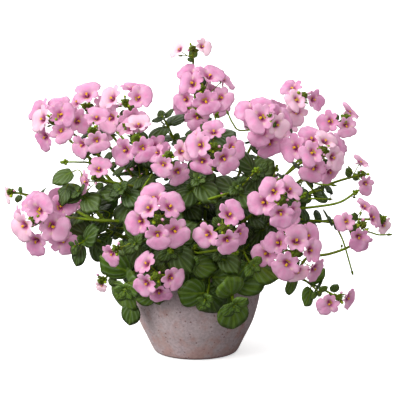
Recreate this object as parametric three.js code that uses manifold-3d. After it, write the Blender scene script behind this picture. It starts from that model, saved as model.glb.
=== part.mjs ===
// Potted twinspur (Diascia): a bushy bedding plant with racemes of pink two-spurred blooms,
// rooted in soil in a bowl-shaped clay pot. Millimetres, +Z up, origin at the middle of the
// pot's underside. The plant's front faces -Y.
import * as THREE from "three";
import { mergeVertices } from "three/addons/utils/BufferGeometryUtils.js";
import Module from "manifold-3d";

const wasm = await Module();
wasm.setup();

// Driving dimensions of the pot and the soil
const POT_HEIGHT = 89;
const RIM_RADIUS = 66;
const BASE_RADIUS = 38;
const WALL = 6;
const FLOOR = 8;
const SOIL_TOP = 79;
const SOIL_EDGE = 58.4;
const POT_SIDES = 24;
const CLEAR = 0.3;
const SOIL_GAP = 0.4;

// Driving dimensions of the plant
const STEM_RADIUS = 1.6;
const TWIG_RADIUS = 1.3;
const AXIS_RADIUS = 2;
const AXIS_SIDES = 3;
const STALK_RADIUS = 0.75;
const STEM_SIDES = 4;
const STEM_STEP = 44;
const ROOT_DEPTH = 11;
const FRONT_DEPTH = 35;
const HOLE_RADIUS = STEM_RADIUS + 1.1;
const HOLE_DEEPER = 0.9;
const LEAF_LENGTH = 28;
const LEAF_THICKNESS = 1.2;
const LEAF_SPACING = 115;
const TIP_SPACING = 17;
const TIP_REACH = 40;
const TIP_DEPTH = 6;
const FRONT_LEAN = 0.45;
const BUD_RADIUS = 2.8;
const GOLDEN_ANGLE = THREE.MathUtils.degToRad(137.5);
const UP = new THREE.Vector3(0, 0, 1);
const PLANT_HEART = new THREE.Vector3(0, 0, 110);

// The flower heads: the middle of each raceme, how many open blooms it holds, how far they spread
// round it, where the first one stands, how big they are, and the leafy stem that carries it.
const FLOWER_HEADS = [
  { at: [-154, -50, 142], blooms: 8, spread: 25, turn: 75, size: 1.05, shoot: 1 },
  { at: [-181, -15, 164], blooms: 1, spread: 6, turn: 200, size: 0.6, shoot: 1 },
  { at: [-139, -15, 235], blooms: 7, spread: 21, turn: 40, size: 0.95, shoot: 2 },
  { at: [-108, 5, 246], blooms: 4, spread: 15, turn: 95, size: 0.95, shoot: 3 },
  { at: [-68, -20, 252], blooms: 5, spread: 18, turn: 20, size: 1.05, shoot: 3 },
  { at: [-98, -58, 229], blooms: 3, spread: 15, turn: 300, size: 0.9, shoot: 4 },
  { at: [-56, -60, 222], blooms: 5, spread: 16, turn: 300, size: 0.95, shoot: 4 },
  { at: [-95, -60, 184], blooms: 2, spread: 12, turn: 60, size: 0.85, shoot: 4 },
  { at: [-25, -75, 208], blooms: 4, spread: 14, turn: 250, size: 0.8, shoot: 5 },
  { at: [6, -10, 264], blooms: 8, spread: 24, turn: 150, size: 0.95, shoot: 6 },
  { at: [-3, 5, 302], blooms: 2, spread: 13, turn: 20, size: 0.65, shoot: 6 },
  { at: [17, -85, 217], blooms: 6, spread: 17, turn: 170, size: 0.9, shoot: 5 },
  { at: [70, -45, 241], blooms: 7, spread: 18, turn: 180, size: 1.0, shoot: 7 },
  { at: [106, 10, 256], blooms: 4, spread: 13, turn: 200, size: 0.9, shoot: 7 },
  { at: [121, -45, 209], blooms: 8, spread: 20, turn: 60, size: 0.95, shoot: 8 },
  { at: [147, 5, 235], blooms: 3, spread: 11, turn: 270, size: 0.85, shoot: 8 },
  { at: [163, -5, 180], blooms: 2, spread: 13, turn: 290, size: 0.75, shoot: 9 },
  { at: [78, -115, 172], blooms: 5, spread: 14, turn: 130, size: 0.9, shoot: 10 },
  { at: [25, -130, 149], blooms: 4, spread: 15, turn: 285, size: 0.88, shoot: 11 },
  { at: [93, -95, 119], blooms: 9, spread: 25, turn: 85, size: 0.95, shoot: 12 },
  { at: [160, -45, 137], blooms: 5, spread: 17, turn: 240, size: 0.8, shoot: 9 },
  { at: [183, -10, 136], blooms: 1, spread: 8, turn: 300, size: 0.65, shoot: 13 },
  { at: [135, -75, 72], blooms: 2, spread: 14, turn: 215, size: 0.9, shoot: 12 },
  { at: [-34, -130, 157], blooms: 6, spread: 17, turn: 135, size: 0.95, shoot: 14 },
  { at: [-74, -95, 123], blooms: 1, spread: 8, turn: 225, size: 0.85, shoot: 15 },
  { at: [-36, -110, 100], blooms: 4, spread: 15, turn: 215, size: 0.85, shoot: 16 },
  { at: [-90, -60, 86], blooms: 1, spread: 7, turn: 250, size: 0.5, shoot: 15 },
  { at: [-86, 92, 222], blooms: 4, spread: 17, turn: 30, size: 0.95, shoot: 17 },
  { at: [6, 88, 246], blooms: 4, spread: 17, turn: 70, size: 0.95, shoot: 18 },
  { at: [80, 92, 220], blooms: 4, spread: 17, turn: 110, size: 0.95, shoot: 19 },
  { at: [134, 66, 192], blooms: 4, spread: 16, turn: 10, size: 0.95, shoot: 20 },
  { at: [-76, 124, 150], blooms: 4, spread: 17, turn: 200, size: 0.95, shoot: 21 },
  { at: [6, 146, 150], blooms: 4, spread: 17, turn: 300, size: 0.95, shoot: 18 },
  { at: [84, 122, 138], blooms: 4, spread: 17, turn: 160, size: 0.95, shoot: 19 },
  { at: [-140, 56, 132], blooms: 4, spread: 17, turn: 80, size: 0.95, shoot: 17 },
];

// Leafy shoots without blooms: where the tip is, which way it points, how big its leaves are,
// and its leafy stem.
const LEAFY_TIPS = [
  { at: [36, -92, 68], way: [0.1, -0.8, -0.6], leaf: 1.3, shoot: 22 },
  { at: [9, -88, 72], way: [-0.35, -0.75, -0.5], leaf: 1.2, shoot: 11 },
  { at: [-68, -70, 78], way: [-0.2, -0.8, -0.5], leaf: 1.35, shoot: 15 },
  { at: [-34, -78, 74], way: [-0.1, -0.8, -0.6], leaf: 0.85, shoot: 16 },
  { at: [123, -20, 167], way: [0.8, -0.5, 0.2], leaf: 0.8, shoot: 13 },
  { at: [118, -60, 74], way: [0.5, -0.7, -0.5], leaf: 0.85, shoot: 12 },
  { at: [-23, -108, 124], way: [-0.1, -0.9, -0.4], leaf: 1.1, shoot: 14 },
  { at: [24, -100, 120], way: [0.1, -0.95, 0.1], leaf: 1.0, shoot: 22 },
  { at: [54, -90, 106], way: [0.4, -0.85, -0.1], leaf: 1.05, shoot: 10 },
  { at: [-5, -98, 108], way: [-0.2, -0.95, -0.2], leaf: 0.95, shoot: 16 },
  { at: [3, -86, 188], way: [0, -0.9, 0.4], leaf: 0.95, shoot: 5 },
  { at: [39, -84, 180], way: [0.3, -0.9, 0.3], leaf: 1.0, shoot: 10 },
  { at: [-72, -64, 174], way: [-0.5, -0.8, 0.3], leaf: 1.0, shoot: 4 },
  { at: [-112, -50, 170], way: [-0.7, -0.6, 0.4], leaf: 1.0, shoot: 1 },
  { at: [-116, -55, 118], way: [-0.7, -0.6, -0.3], leaf: 0.9, shoot: 1 },
  { at: [-57, -88, 126], way: [-0.4, -0.9, 0], leaf: 1.0, shoot: 14 },
  { at: [89, -60, 150], way: [0.6, -0.8, 0.1], leaf: 0.9, shoot: 12 },
  { at: [72, 58, 78], way: [0.7, 0.6, -0.35], leaf: 1.1, shoot: 20 },
  { at: [-62, 68, 80], way: [-0.6, 0.7, -0.35], leaf: 1.1, shoot: 17 },
  { at: [10, 96, 130], way: [0.1, 0.9, 0.1], leaf: 1.15, shoot: 18 },
  { at: [-52, 30, 186], way: [-0.4, 0.1, 0.9], leaf: 1.15, shoot: 3 },
  { at: [-32, -8, 237], way: [-0.4, -0.5, 0.75], leaf: 1.0, shoot: 6 },
  { at: [56, 30, 186], way: [0.4, 0.1, 0.9], leaf: 1.15, shoot: 19 },
  { at: [-92, 70, 130], way: [-0.7, 0.7, 0.1], leaf: 1.15, shoot: 21 },
  { at: [10, -18, 226], way: [0.2, -0.8, 0.5], leaf: 1.0, shoot: 6 },
  { at: [60, -58, 190], way: [0.3, -0.9, 0.2], leaf: 1.0, shoot: 7 },
  { at: [100, 62, 130], way: [0.8, 0.6, 0.1], leaf: 1.15, shoot: 20 },
];
const SHOOTS = 22;

// A small seeded generator, so that every build grows the same plant.
function seeded(seed) {
  let state = (seed * 7919 + 12345) >>> 0;
  return () => {
    state = (Math.imul(state, 1664525) + 1013904223) >>> 0;
    return state / 4294967296;
  };
}

// A closed geometry as a solid.
function solidOf(geometry) {
  const bare = geometry.clone();
  bare.deleteAttribute("normal");
  bare.deleteAttribute("uv");
  const merged = mergeVertices(bare, 1e-3);
  return new wasm.Manifold(
    new wasm.Mesh({
      numProp: 3,
      vertProperties: merged.attributes.position.array,
      triVerts: new Uint32Array(merged.index.array),
    }),
  );
}

// A solid back as a geometry.
function geometryOf(solid) {
  const mesh = solid.getMesh();
  const vertices = new Float32Array(mesh.numVert * 3);
  for (let i = 0; i < mesh.numVert; i++) {
    vertices.set(mesh.vertProperties.subarray(i * mesh.numProp, i * mesh.numProp + 3), i * 3);
  }
  const geometry = new THREE.BufferGeometry();
  geometry.setAttribute("position", new THREE.BufferAttribute(vertices, 3));
  geometry.setIndex(new THREE.BufferAttribute(mesh.triVerts, 1));
  return geometry;
}

// A round bar of few sides along a curve.
function bar(curve, radius, steps, sides = STEM_SIDES) {
  const section = new THREE.Shape();
  for (let i = 0; i < sides; i++) {
    const angle = (i / sides) * Math.PI * 2;
    const point = [Math.cos(angle) * radius, Math.sin(angle) * radius];
    if (i) section.lineTo(...point);
    else section.moveTo(...point);
  }
  section.closePath();
  return new THREE.ExtrudeGeometry(section, { steps, extrudePath: curve });
}

// A closed sheet from its points and the triangles between them.
function sheet(points, faces) {
  const geometry = new THREE.BufferGeometry().setFromPoints(points);
  geometry.setIndex(faces.flat());
  return geometry;
}

// A place from its origin, the direction of its y axis and the side its z axis faces.
function placeAt(origin, along, face, scale) {
  const y = along.clone().normalize();
  const x = new THREE.Vector3().crossVectors(y, face).normalize();
  const z = new THREE.Vector3().crossVectors(x, y);
  const place = new THREE.Matrix4().makeBasis(x, y, z);
  place.scale(new THREE.Vector3(scale, scale, scale));
  place.setPosition(origin);
  return place;
}

// The pot: a bowl whose wall leans out from a narrow foot and stands upright at the rim.
const WALL_LINE = [
  [BASE_RADIUS + 4.6, 3.6],
  [57, 31],
  [63.6, 54],
];

function makePot() {
  const inner = WALL_LINE.slice(1).reverse();
  return lathe([
    [0, 0],
    [BASE_RADIUS + 1.2, 0],
    ...WALL_LINE,
    [RIM_RADIUS, 78],
    [RIM_RADIUS, POT_HEIGHT - 1.6],
    [RIM_RADIUS - 1.8, POT_HEIGHT],
    [RIM_RADIUS - WALL, POT_HEIGHT],
    ...inner.map(([r, z]) => [r - WALL, z]),
    [BASE_RADIUS + 1, FLOOR],
    [0, FLOOR],
  ]);
}

// The soil fills the bowl up to just under the rim, all round a gap's width inside the wall.
function makeSoil() {
  const inner = WALL_LINE.slice(1);
  return lathe([
    [0, FLOOR + CLEAR],
    [BASE_RADIUS + 0.6, FLOOR + CLEAR],
    ...inner.map(([r, z]) => [r - WALL - SOIL_GAP, z]),
    [SOIL_EDGE, SOIL_TOP],
    [0, SOIL_TOP],
  ]);
}

function lathe(points) {
  const profile = points.map(([x, y]) => new THREE.Vector2(x, y));
  return new THREE.LatheGeometry(profile, POT_SIDES).rotateX(Math.PI / 2);
}

// One bloom 25 across, facing +z with its big lip towards -y: two small upper lobes, two side
// lobes and the wide lower lip, all one cupped sheet. Its stalk and its two spurs grow out of
// the back of the throat.
const LOBES = [
  [0, 5.4, 0.2],
  [-4.4, 9.6, 1.6],
  [-11.8, 4.0, 1.4],
  [-12.4, -2.6, 1.0],
  [-7.4, -4.6, 0],
  [-10.4, -9.8, 0.8],
  [-6, -15.8, 1.4],
  [6, -15.8, 1.4],
  [10.4, -9.8, 0.8],
  [7.4, -4.6, 0],
  [12.4, -2.6, 1.0],
  [11.8, 4.0, 1.4],
  [4.4, 9.6, 1.6],
];
const LEFT_NOTCH = 4;
const RIGHT_NOTCH = 9;
const THROAT = [0, -0.8, -2.8];
const STALK_END = [0, -0.8, -4.2];
const SPUR_FOOT = [2.1, -1.6, -3.5];
const SPUR_TIP = [3.4, -6.4, -8.2];
const FRONT = 13;
const BACK = { stalk: [14, 15, 16], foot: [17, 18], tip: [19, 20], axis: [21, 22, 23] };

// The corners of the stalk share the back of the sheet between them: the lower one the lip, the
// other two a side and an upper lobe each.
function bloomFaces() {
  const count = LOBES.length;
  const [low, right, left] = BACK.stalk;
  const front = [];
  const back = [[right, 0, left]];
  for (let i = 0; i < count; i++) {
    const next = (i + 1) % count;
    front.push([FRONT, i, next]);
    back.push([i < LEFT_NOTCH ? left : i < RIGHT_NOTCH ? low : right, i, next]);
  }
  back.push(...spurFaces(left, LEFT_NOTCH, low, 0), ...spurFaces(low, RIGHT_NOTCH, right, 1));
  const stalk = [[BACK.axis[0], BACK.axis[2], BACK.axis[1]]];
  for (const i of [0, 1, 2]) {
    const next = (i + 1) % 3;
    const [a, b] = [BACK.stalk[i], BACK.stalk[next]];
    stalk.push([b, a, BACK.axis[i]], [b, BACK.axis[i], BACK.axis[next]]);
  }
  return [...front, ...back.map(([a, b, c]) => [a, c, b]), ...stalk];
}

// A spur rises from the strip between two corners of the stalk and one of the notches.
function spurFaces(from, notch, to, side) {
  const foot = BACK.foot[side];
  const tip = BACK.tip[side];
  return [
    [from, notch, foot],
    [notch, to, foot],
    [to, from, tip],
    [from, foot, tip],
    [foot, to, tip],
  ];
}

const BLOOM_FACES = bloomFaces();

function bloom({ place, size, start }, extra = 0) {
  const grow = 1 + extra / 10;
  const radius = (STALK_RADIUS + extra) / size;
  const corners = [-90, 30, 150].map((degrees) => {
    const angle = THREE.MathUtils.degToRad(degrees);
    const [x, y, z] = STALK_END;
    return [x + radius * Math.cos(angle), y + radius * Math.sin(angle), z - extra];
  });
  const mirrored = ([x, y, z]) => [-x, y, z];
  const local = [
    ...LOBES.map(([x, y, z]) => [x * grow, y * grow, z]),
    [THROAT[0], THROAT[1], THROAT[2] + extra],
    ...corners,
    mirrored(SPUR_FOOT),
    SPUR_FOOT,
    mirrored(SPUR_TIP),
    SPUR_TIP,
  ];
  const points = local.map((point) => new THREE.Vector3(...point).applyMatrix4(place));
  const shift = start.clone().sub(new THREE.Vector3(...STALK_END).applyMatrix4(place));
  const ends = BACK.stalk.map((i) => points[i].clone().add(shift));
  return sheet([...points, ...ends], BLOOM_FACES);
}

// One leaf of length 1, lying along +y from its short stalk, with a rounded heart-shaped blade.
const LEAF_EDGE = [
  [0, 0],
  [0.05, 0.12],
  [0.41, 0.28],
  [0.37, 0.72],
  [0, 1],
];
const LEAF_RIBS = [
  [0, 0.14],
  [0, 0.56],
];
const LEAF_SHOULDER = 2;

function leafHeight(x, y, droop) {
  return -droop * y * y - 0.45 * x * x + 0.1 * y;
}

// Both faces are split alike, so that they never cross.
function leafFaces() {
  const count = (LEAF_EDGE.length - 1) * 2;
  const [stalk, middle] = [count, count + 1];
  const faces = [];
  for (let i = 0; i < count; i++) {
    const low = i < LEAF_SHOULDER || i >= count - LEAF_SHOULDER;
    faces.push([low ? stalk : middle, i, (i + 1) % count]);
  }
  faces.push([stalk, LEAF_SHOULDER, middle], [stalk, middle, count - LEAF_SHOULDER]);
  const under = (i) => (i < count ? i : i + LEAF_RIBS.length);
  return faces.flatMap(([a, b, c]) => [
    [a, b, c],
    [under(a), under(c), under(b)],
  ]);
}

const LEAF_FACES = leafFaces();

function leaf({ place, length, droop }, extra = 0) {
  const grow = 1 + extra / (length * 0.4);
  const lift = (LEAF_THICKNESS / 2 + extra) / length;
  const right = LEAF_EDGE.map(([x, y]) => [x * grow, y * grow, leafHeight(x, y, droop)]);
  const left = right.slice(1, -1).reverse();
  const ribs = LEAF_RIBS.map(([x, y]) => [x, y, leafHeight(x, y, droop)]);
  const local = [
    ...right,
    ...left.map(([x, y, z]) => [-x, y, z]),
    ...ribs.map(([x, y, z]) => [x, y, z + lift]),
    ...ribs.map(([x, y, z]) => [x, y, z - lift]),
  ];
  const points = local.map((point) => new THREE.Vector3(...point).applyMatrix4(place));
  return sheet(points, LEAF_FACES);
}

// What has been placed so far. A new piece of another node has to stay clear of all of it.
const placed = [];

function boxesMeet(a, b) {
  return a.min.every((low, i) => low <= b.max[i]) && b.min.every((low, i) => low <= a.max[i]);
}

function remember(geometry, node, kind) {
  const solid = solidOf(geometry);
  placed.push({ solid, box: solid.boundingBox(), node, kind });
  return solid;
}

function isClear(geometry, ignore) {
  const solid = solidOf(geometry);
  const box = solid.boundingBox();
  return placed.every(
    (other) => ignore(other) || !boxesMeet(box, other.box) || solid.intersect(other.solid).isEmpty(),
  );
}

// The way a raceme points: out of the plant, a little up, and towards its nearer side.
function racemeWay(at) {
  const out = at.clone().sub(PLANT_HEART).normalize();
  const side = new THREE.Vector3(0, at.y < FRONT_DEPTH ? -1 : 1, 0);
  return out.multiplyScalar(0.45).addScaledVector(side, 0.85).addScaledVector(UP, 0.08).normalize();
}

// A direction square to a raceme, at an angle round it.
function radialOf(head, angle) {
  return head.across
    .clone()
    .multiplyScalar(Math.cos(angle))
    .addScaledVector(head.over, Math.sin(angle));
}

// Blooms stand round the raceme in the golden angle, each lower one further out and turned
// further outward. The lip hangs away from the raceme's tip and a little down.
function bloomSpot(head, number, change) {
  const random = seeded(head.index * 31 + number);
  const share = head.blooms > 1 ? number / (head.blooms - 1) : 0.5;
  const inner = head.blooms > 6 ? 0.42 : 0.72;
  const angle = THREE.MathUtils.degToRad(head.turn) + number * GOLDEN_ANGLE + (random() - 0.5) * 0.35;
  const radial = radialOf(head, angle);
  const reach = head.spread * (inner + (1.08 - inner) * share) * change.reach;
  const drop = 1 + 11 * share + change.drop;
  const at = head.tip.clone().addScaledVector(radial, reach).addScaledVector(head.way, -drop);
  const tilt = THREE.MathUtils.degToRad(14 + 24 * share + (random() - 0.5) * 20 + change.tilt);
  const face = head.way
    .clone()
    .multiplyScalar(Math.cos(tilt))
    .addScaledVector(radial, Math.sin(tilt));
  const top = head.way.clone().multiplyScalar(Math.sin(tilt)).addScaledVector(radial, -Math.cos(tilt));
  top.addScaledVector(UP, 0.35).applyAxisAngle(face, (random() - 0.5) * 0.5);
  top.addScaledVector(face, -top.dot(face));
  const size = head.size * (0.88 + 0.2 * random()) * change.size;
  const low = Math.min(11 + 8 * share + 1.2 * number, head.length - 3);
  const start = head.tip.clone().addScaledVector(head.way, -low);
  return { place: placeAt(at, top, face, size), size, start };
}

// The small changes tried, in order, until a bloom is clear of its neighbours.
const BLOOM_CHANGES = [];
for (const size of [1, 0.85, 0.7]) {
  for (const reach of [1, 1.15, 0.88]) {
    for (const drop of [0, -4, 5, 10]) {
      for (const tilt of [0, 14, -14]) {
        BLOOM_CHANGES.push({ size, reach, drop, tilt });
      }
    }
  }
}

// The raceme's axis, which swells into the closed buds at its tip.
function raceme(head) {
  const profile = [
    [0, 0],
    [AXIS_RADIUS, 0],
    [AXIS_RADIUS, head.length - 3],
    [BUD_RADIUS, head.length + 0.5],
    [0, head.length + 4.5],
  ].map(([x, y]) => new THREE.Vector2(x, y));
  const geometry = new THREE.LatheGeometry(profile, AXIS_SIDES);
  return geometry.applyMatrix4(placeAt(head.base, head.way, head.across, 1));
}

// A flower head: the raceme's axis with its buds, and every bloom on its stalk.
function growHead(head) {
  const node = `flower_head_${String(head.index + 1).padStart(2, "0")}`;
  const parts = [remember(raceme(head), node, "axis")];
  const own = (other) => other.node === node && other.kind === "axis";
  for (let i = 0; i < head.blooms; i++) {
    const test = (change) => isClear(bloom(bloomSpot(head, i, change), CLEAR), own);
    const change = BLOOM_CHANGES.find(test);
    if (change) parts.push(remember(bloom(bloomSpot(head, i, change)), node, "bloom"));
    else console.log(`${node}: bloom ${i} found no room`);
  }
  return { name: node, parts, at: head.tip, colour: "petal" };
}

function readHead(entry, index) {
  const middle = new THREE.Vector3(...entry.at);
  const way = racemeWay(middle);
  const tip = middle.addScaledVector(way, TIP_DEPTH);
  const length = 19 + entry.spread * 0.75;
  const across = new THREE.Vector3().crossVectors(UP, way).normalize();
  return {
    ...entry,
    index,
    tip,
    way,
    length,
    base: tip.clone().addScaledVector(way, -length),
    across,
    over: new THREE.Vector3().crossVectors(way, across).normalize(),
  };
}

// A stem's way from where it starts to its end, which it meets head-on.
function stemCurve(start, leave, end, way, change, pull) {
  const side = new THREE.Vector3().crossVectors(way, UP).normalize();
  const arrive = end.clone().addScaledVector(way, -pull).addScaledVector(side, change.side);
  return new THREE.CubicBezierCurve3(start, leave, arrive, end.clone().addScaledVector(way, -CLEAR));
}

// A stem from the soil: straight up at first, then over to its end. Stems that end low go up
// over the rim and hang down outside it.
function mainStem({ end, way }, change) {
  const root = Math.min(36, 8 + 0.18 * Math.hypot(end.x, end.y));
  const angle = Math.atan2(end.y, end.x) + change.turn;
  const foot = new THREE.Vector3(root * Math.cos(angle), root * Math.sin(angle), SOIL_TOP - ROOT_DEPTH);
  const length = foot.distanceTo(end) * change.lift;
  const hanging = end.z < POT_HEIGHT;
  const rise = Math.max(ROOT_DEPTH + 16, length * (hanging ? 0.8 : 0.42));
  const leave = foot.clone().addScaledVector(UP, rise);
  return stemCurve(foot, leave, end, way, change, length * (hanging ? 0.62 : 0.34));
}

// A side branch from a point on a stem.
function sideBranch(stem, { end, way }, change) {
  const share = 0.45 + change.turn * 0.4;
  const start = onBar(stem, share);
  const toward = end.clone().sub(start);
  const length = toward.length() * change.lift;
  const leave = start
    .clone()
    .addScaledVector(stem.getTangentAt(share), length * 0.06)
    .addScaledVector(toward.normalize(), length * 0.26);
  return stemCurve(start, leave, end, way, change, length * 0.3);
}

const STEM_CHANGES = [];
for (const lift of [1, 0.75, 1.3, 0.55]) {
  for (const turn of [0, 0.25, -0.25, 0.5, -0.5, 0.75, -0.75]) {
    for (const side of [0, 14, -14, 28, -28, 45, -45]) {
      STEM_CHANGES.push({ turn, side, lift });
    }
  }
}

function stemSteps(curve) {
  return Math.max(3, Math.round(curve.getLength() / STEM_STEP));
}

// A point on the straight-sided bar that a stem is made as.
function onBar(curve, share) {
  const steps = stemSteps(curve);
  const whole = Math.min(Math.floor(share * steps), steps - 1);
  const from = curve.getPointAt(whole / steps);
  return from.lerp(curve.getPointAt((whole + 1) / steps), share * steps - whole);
}

function growStem(node, make, radius) {
  const near = (other) => (other.node === node && other.kind === "stem 0") || other.node === "soil";
  const fits = (change) => {
    const curve = make(change);
    return isClear(bar(curve, radius + CLEAR, stemSteps(curve)), near);
  };
  const change = STEM_CHANGES.find(fits);
  const curve = make(change ?? STEM_CHANGES[0]);
  if (!change) console.log(`${node}: no room for the stem to ${curve.v3.toArray().map(Math.round)}`);
  return curve;
}

// A leaf's place on its stem. Leaves stand in opposite pairs on the faces of the square stem,
// each pair a quarter turned from the last, and look to the light outside the plant.
function leafSpot({ curve, frames }, bud, change) {
  const at = onBar(curve, bud.share);
  const along = curve.getTangentAt(bud.share);
  const segment = Math.floor(bud.share * (frames.normals.length - 1));
  const angle = bud.pair * (Math.PI / 2) + Math.PI / 4 + change.turn;
  const away = frames.normals[segment]
    .clone()
    .multiplyScalar(Math.cos(angle))
    .addScaledVector(frames.binormals[segment], Math.sin(angle));
  const way = away.multiplyScalar(bud.side).addScaledVector(along, 0.35);
  way.z -= change.sink;
  const light = at.clone().sub(PLANT_HEART).normalize().addScaledVector(UP, 0.5).addScaledVector(along, 0.3);
  if (at.y < FRONT_DEPTH) light.y -= FRONT_LEAN;
  const length = bud.length * change.size;
  return { place: placeAt(at, way, light, length), length, droop: bud.droop };
}

const LEAF_CHANGES = [];
for (const size of [1, 0.84, 0.7]) {
  for (const sink of [0.1, 0.45, -0.25]) {
    for (const turn of [0, 0.4, -0.4, 0.8, -0.8, 1.3]) {
      LEAF_CHANGES.push({ size, sink, turn });
    }
  }
}

// Where the leaves of one stem stand. A blooming stem has them along its upper half, biggest
// low down; a leafy tip has them close together at its end.
function leafBuds({ curve, leaf: tip, first }, seed) {
  const random = seeded(seed);
  const length = curve.getLength();
  const from = tip ? 1 - Math.min(0.6, TIP_REACH / length) : first ? 0.45 : 0.35;
  const to = tip ? 1 : 0.94;
  const spacing = tip ? TIP_SPACING : LEAF_SPACING;
  const pairs = Math.round(((to - from) * length) / spacing);
  const step = (to - from) / pairs;
  const buds = [];
  for (let pair = 0; pair < pairs; pair++) {
    for (const side of [-1, 1]) {
      const share = from + step * (pair + 0.5 + (random() - 0.5) * 0.3);
      const scale = tip || 1.02 - 0.35 * share;
      const size = LEAF_LENGTH * scale * (0.88 + 0.24 * random());
      buds.push({ share, pair, side, length: size, droop: 0.16 + 0.24 * random() });
    }
  }
  return buds;
}

function growLeaves(node, stem, seed) {
  const own = (other) => other.node === node && other.kind === stem.kind;
  const leaves = [];
  for (const bud of leafBuds(stem, seed)) {
    const fits = (change) => isClear(leaf(leafSpot(stem, bud, change), CLEAR), own);
    const change = LEAF_CHANGES.find(fits);
    if (change) leaves.push(remember(leaf(leafSpot(stem, bud, change)), node, "leaf"));
  }
  return leaves;
}

// The stems of one shoot: the first end gets the stem from the soil, the others branch off it.
function growStems(number, heads) {
  const node = `leafy_stem_${String(number).padStart(2, "0")}`;
  const ofShoot = (entry) => entry.shoot === number;
  const ends = [
    ...heads.filter(ofShoot).map(({ base, way }) => ({ end: base, way, leaf: 0 })),
    ...LEAFY_TIPS.filter(ofShoot).map(({ at, way, leaf: scale }) => ({
      end: new THREE.Vector3(...at),
      way: new THREE.Vector3(...way).normalize(),
      leaf: scale,
    })),
  ];
  const stems = [];
  for (const [i, end] of ends.entries()) {
    const radius = i ? TWIG_RADIUS : STEM_RADIUS;
    const make = (change) => (i ? sideBranch(stems[0].curve, end, change) : mainStem(end, change));
    const curve = growStem(node, make, radius);
    const kind = `stem ${i}`;
    const solid = remember(bar(curve, radius, stemSteps(curve)), node, kind);
    const frames = curve.computeFrenetFrames(stemSteps(curve));
    stems.push({ curve, frames, solid, kind, leaf: end.leaf, first: i === 0 });
  }
  return { node, number, stems };
}

function growFoliage({ node, number, stems }) {
  const parts = stems.map((stem) => stem.solid);
  for (const [i, stem] of stems.entries()) {
    parts.push(...growLeaves(node, stem, number * 100 + i * 10));
  }
  return { name: node, parts, at: stems[0].curve.getPoint(0), colour: "foliage" };
}

// Plain holes in the soil, a little wider and deeper than the stems that stand in them.
function cutHoles(soil, groups) {
  return groups.reduce((left, { stems: [{ curve }] }) => {
    const foot = curve.getPoint(0);
    const above = curve.getPointAt(1 / stemSteps(curve));
    const below = foot.clone().add(foot.clone().sub(above).setLength(HOLE_DEEPER));
    return left.subtract(solidOf(bar(new THREE.LineCurve3(below, above), HOLE_RADIUS, 1)));
  }, soil);
}

// Joins the pieces of a node into one body and drops any scrap left loose.
function fuse(parts) {
  const whole = parts.reduce((sum, part) => sum.add(part));
  const bodies = whole.decompose().sort((a, b) => b.volume() - a.volume());
  if (bodies.length > 1) console.log(`${bodies.length - 1} loose piece(s) dropped`);
  return bodies[0];
}

const MATERIALS = {
  clay: new THREE.MeshStandardMaterial({ color: 0x9a8a86, roughness: 0.9, metalness: 0 }),
  soil: new THREE.MeshStandardMaterial({ color: 0x2c2018, roughness: 1, metalness: 0 }),
  foliage: new THREE.MeshStandardMaterial({ color: 0x3d5a2a, roughness: 0.6, metalness: 0 }),
  petal: new THREE.MeshStandardMaterial({ color: 0xe9a3c9, roughness: 0.6, metalness: 0 }),
};

function meshOf({ name, parts, at, colour }) {
  const geometry = geometryOf(fuse(parts));
  geometry.translate(-at.x, -at.y, -at.z);
  const mesh = new THREE.Mesh(geometry, MATERIALS[colour]);
  mesh.name = name;
  mesh.position.copy(at);
  return mesh;
}

const origin = new THREE.Vector3();
const pot = { name: "pot", parts: [remember(makePot(), "pot", "pot")], at: origin, colour: "clay" };
const wholeSoil = remember(makeSoil(), "soil", "soil");
const heads = FLOWER_HEADS.map(readHead);
const flowerHeads = heads.map(growHead);
const stemGroups = [];
for (let number = 1; number <= SHOOTS; number++) {
  stemGroups.push(growStems(number, heads));
}
const foliage = stemGroups.map(growFoliage);
const soil = { name: "soil", parts: [cutHoles(wholeSoil, stemGroups)], at: origin, colour: "soil" };

const plant = new THREE.Group();
plant.name = "potted_twinspur";
plant.add(...[pot, soil, ...foliage, ...flowerHeads].map(meshOf));

export default plant;
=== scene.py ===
"""A potted twinspur: a bushy bedding plant with racemes of pink, two-spurred blooms over rounded
green leaves, growing in a bowl of aged clay. The file follows the plant as it is put together:
the pot, the soil, the leafy stems that root in it, and the flower heads that end them. Growth is
worked out in millimetres and every mesh is made in metres, in the frame of the solids."""

import math

import bpy
import numpy as np
from mathutils import Matrix, Vector, kdtree, noise


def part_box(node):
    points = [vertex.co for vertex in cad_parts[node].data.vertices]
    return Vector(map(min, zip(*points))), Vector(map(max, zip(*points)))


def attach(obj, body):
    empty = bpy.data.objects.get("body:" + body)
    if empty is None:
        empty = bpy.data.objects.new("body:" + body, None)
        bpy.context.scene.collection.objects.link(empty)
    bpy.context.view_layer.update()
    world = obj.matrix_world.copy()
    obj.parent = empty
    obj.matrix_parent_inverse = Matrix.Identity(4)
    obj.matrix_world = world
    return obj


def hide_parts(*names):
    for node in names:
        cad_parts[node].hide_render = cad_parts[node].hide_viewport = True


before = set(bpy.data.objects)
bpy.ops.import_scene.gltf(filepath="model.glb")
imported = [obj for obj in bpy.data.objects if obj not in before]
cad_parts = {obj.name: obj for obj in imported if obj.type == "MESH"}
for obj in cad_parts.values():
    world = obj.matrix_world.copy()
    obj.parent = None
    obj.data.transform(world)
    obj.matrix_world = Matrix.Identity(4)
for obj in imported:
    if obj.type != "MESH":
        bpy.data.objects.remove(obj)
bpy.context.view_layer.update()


# The pot
# A bowl of unglazed clay, thrown on a wheel and fired, with a narrow foot and an upright rim.
# Years outdoors have greyed it, with a pale bloom of lime, dark pits, and bare terracotta
# low down where the skin has worn off.

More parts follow.
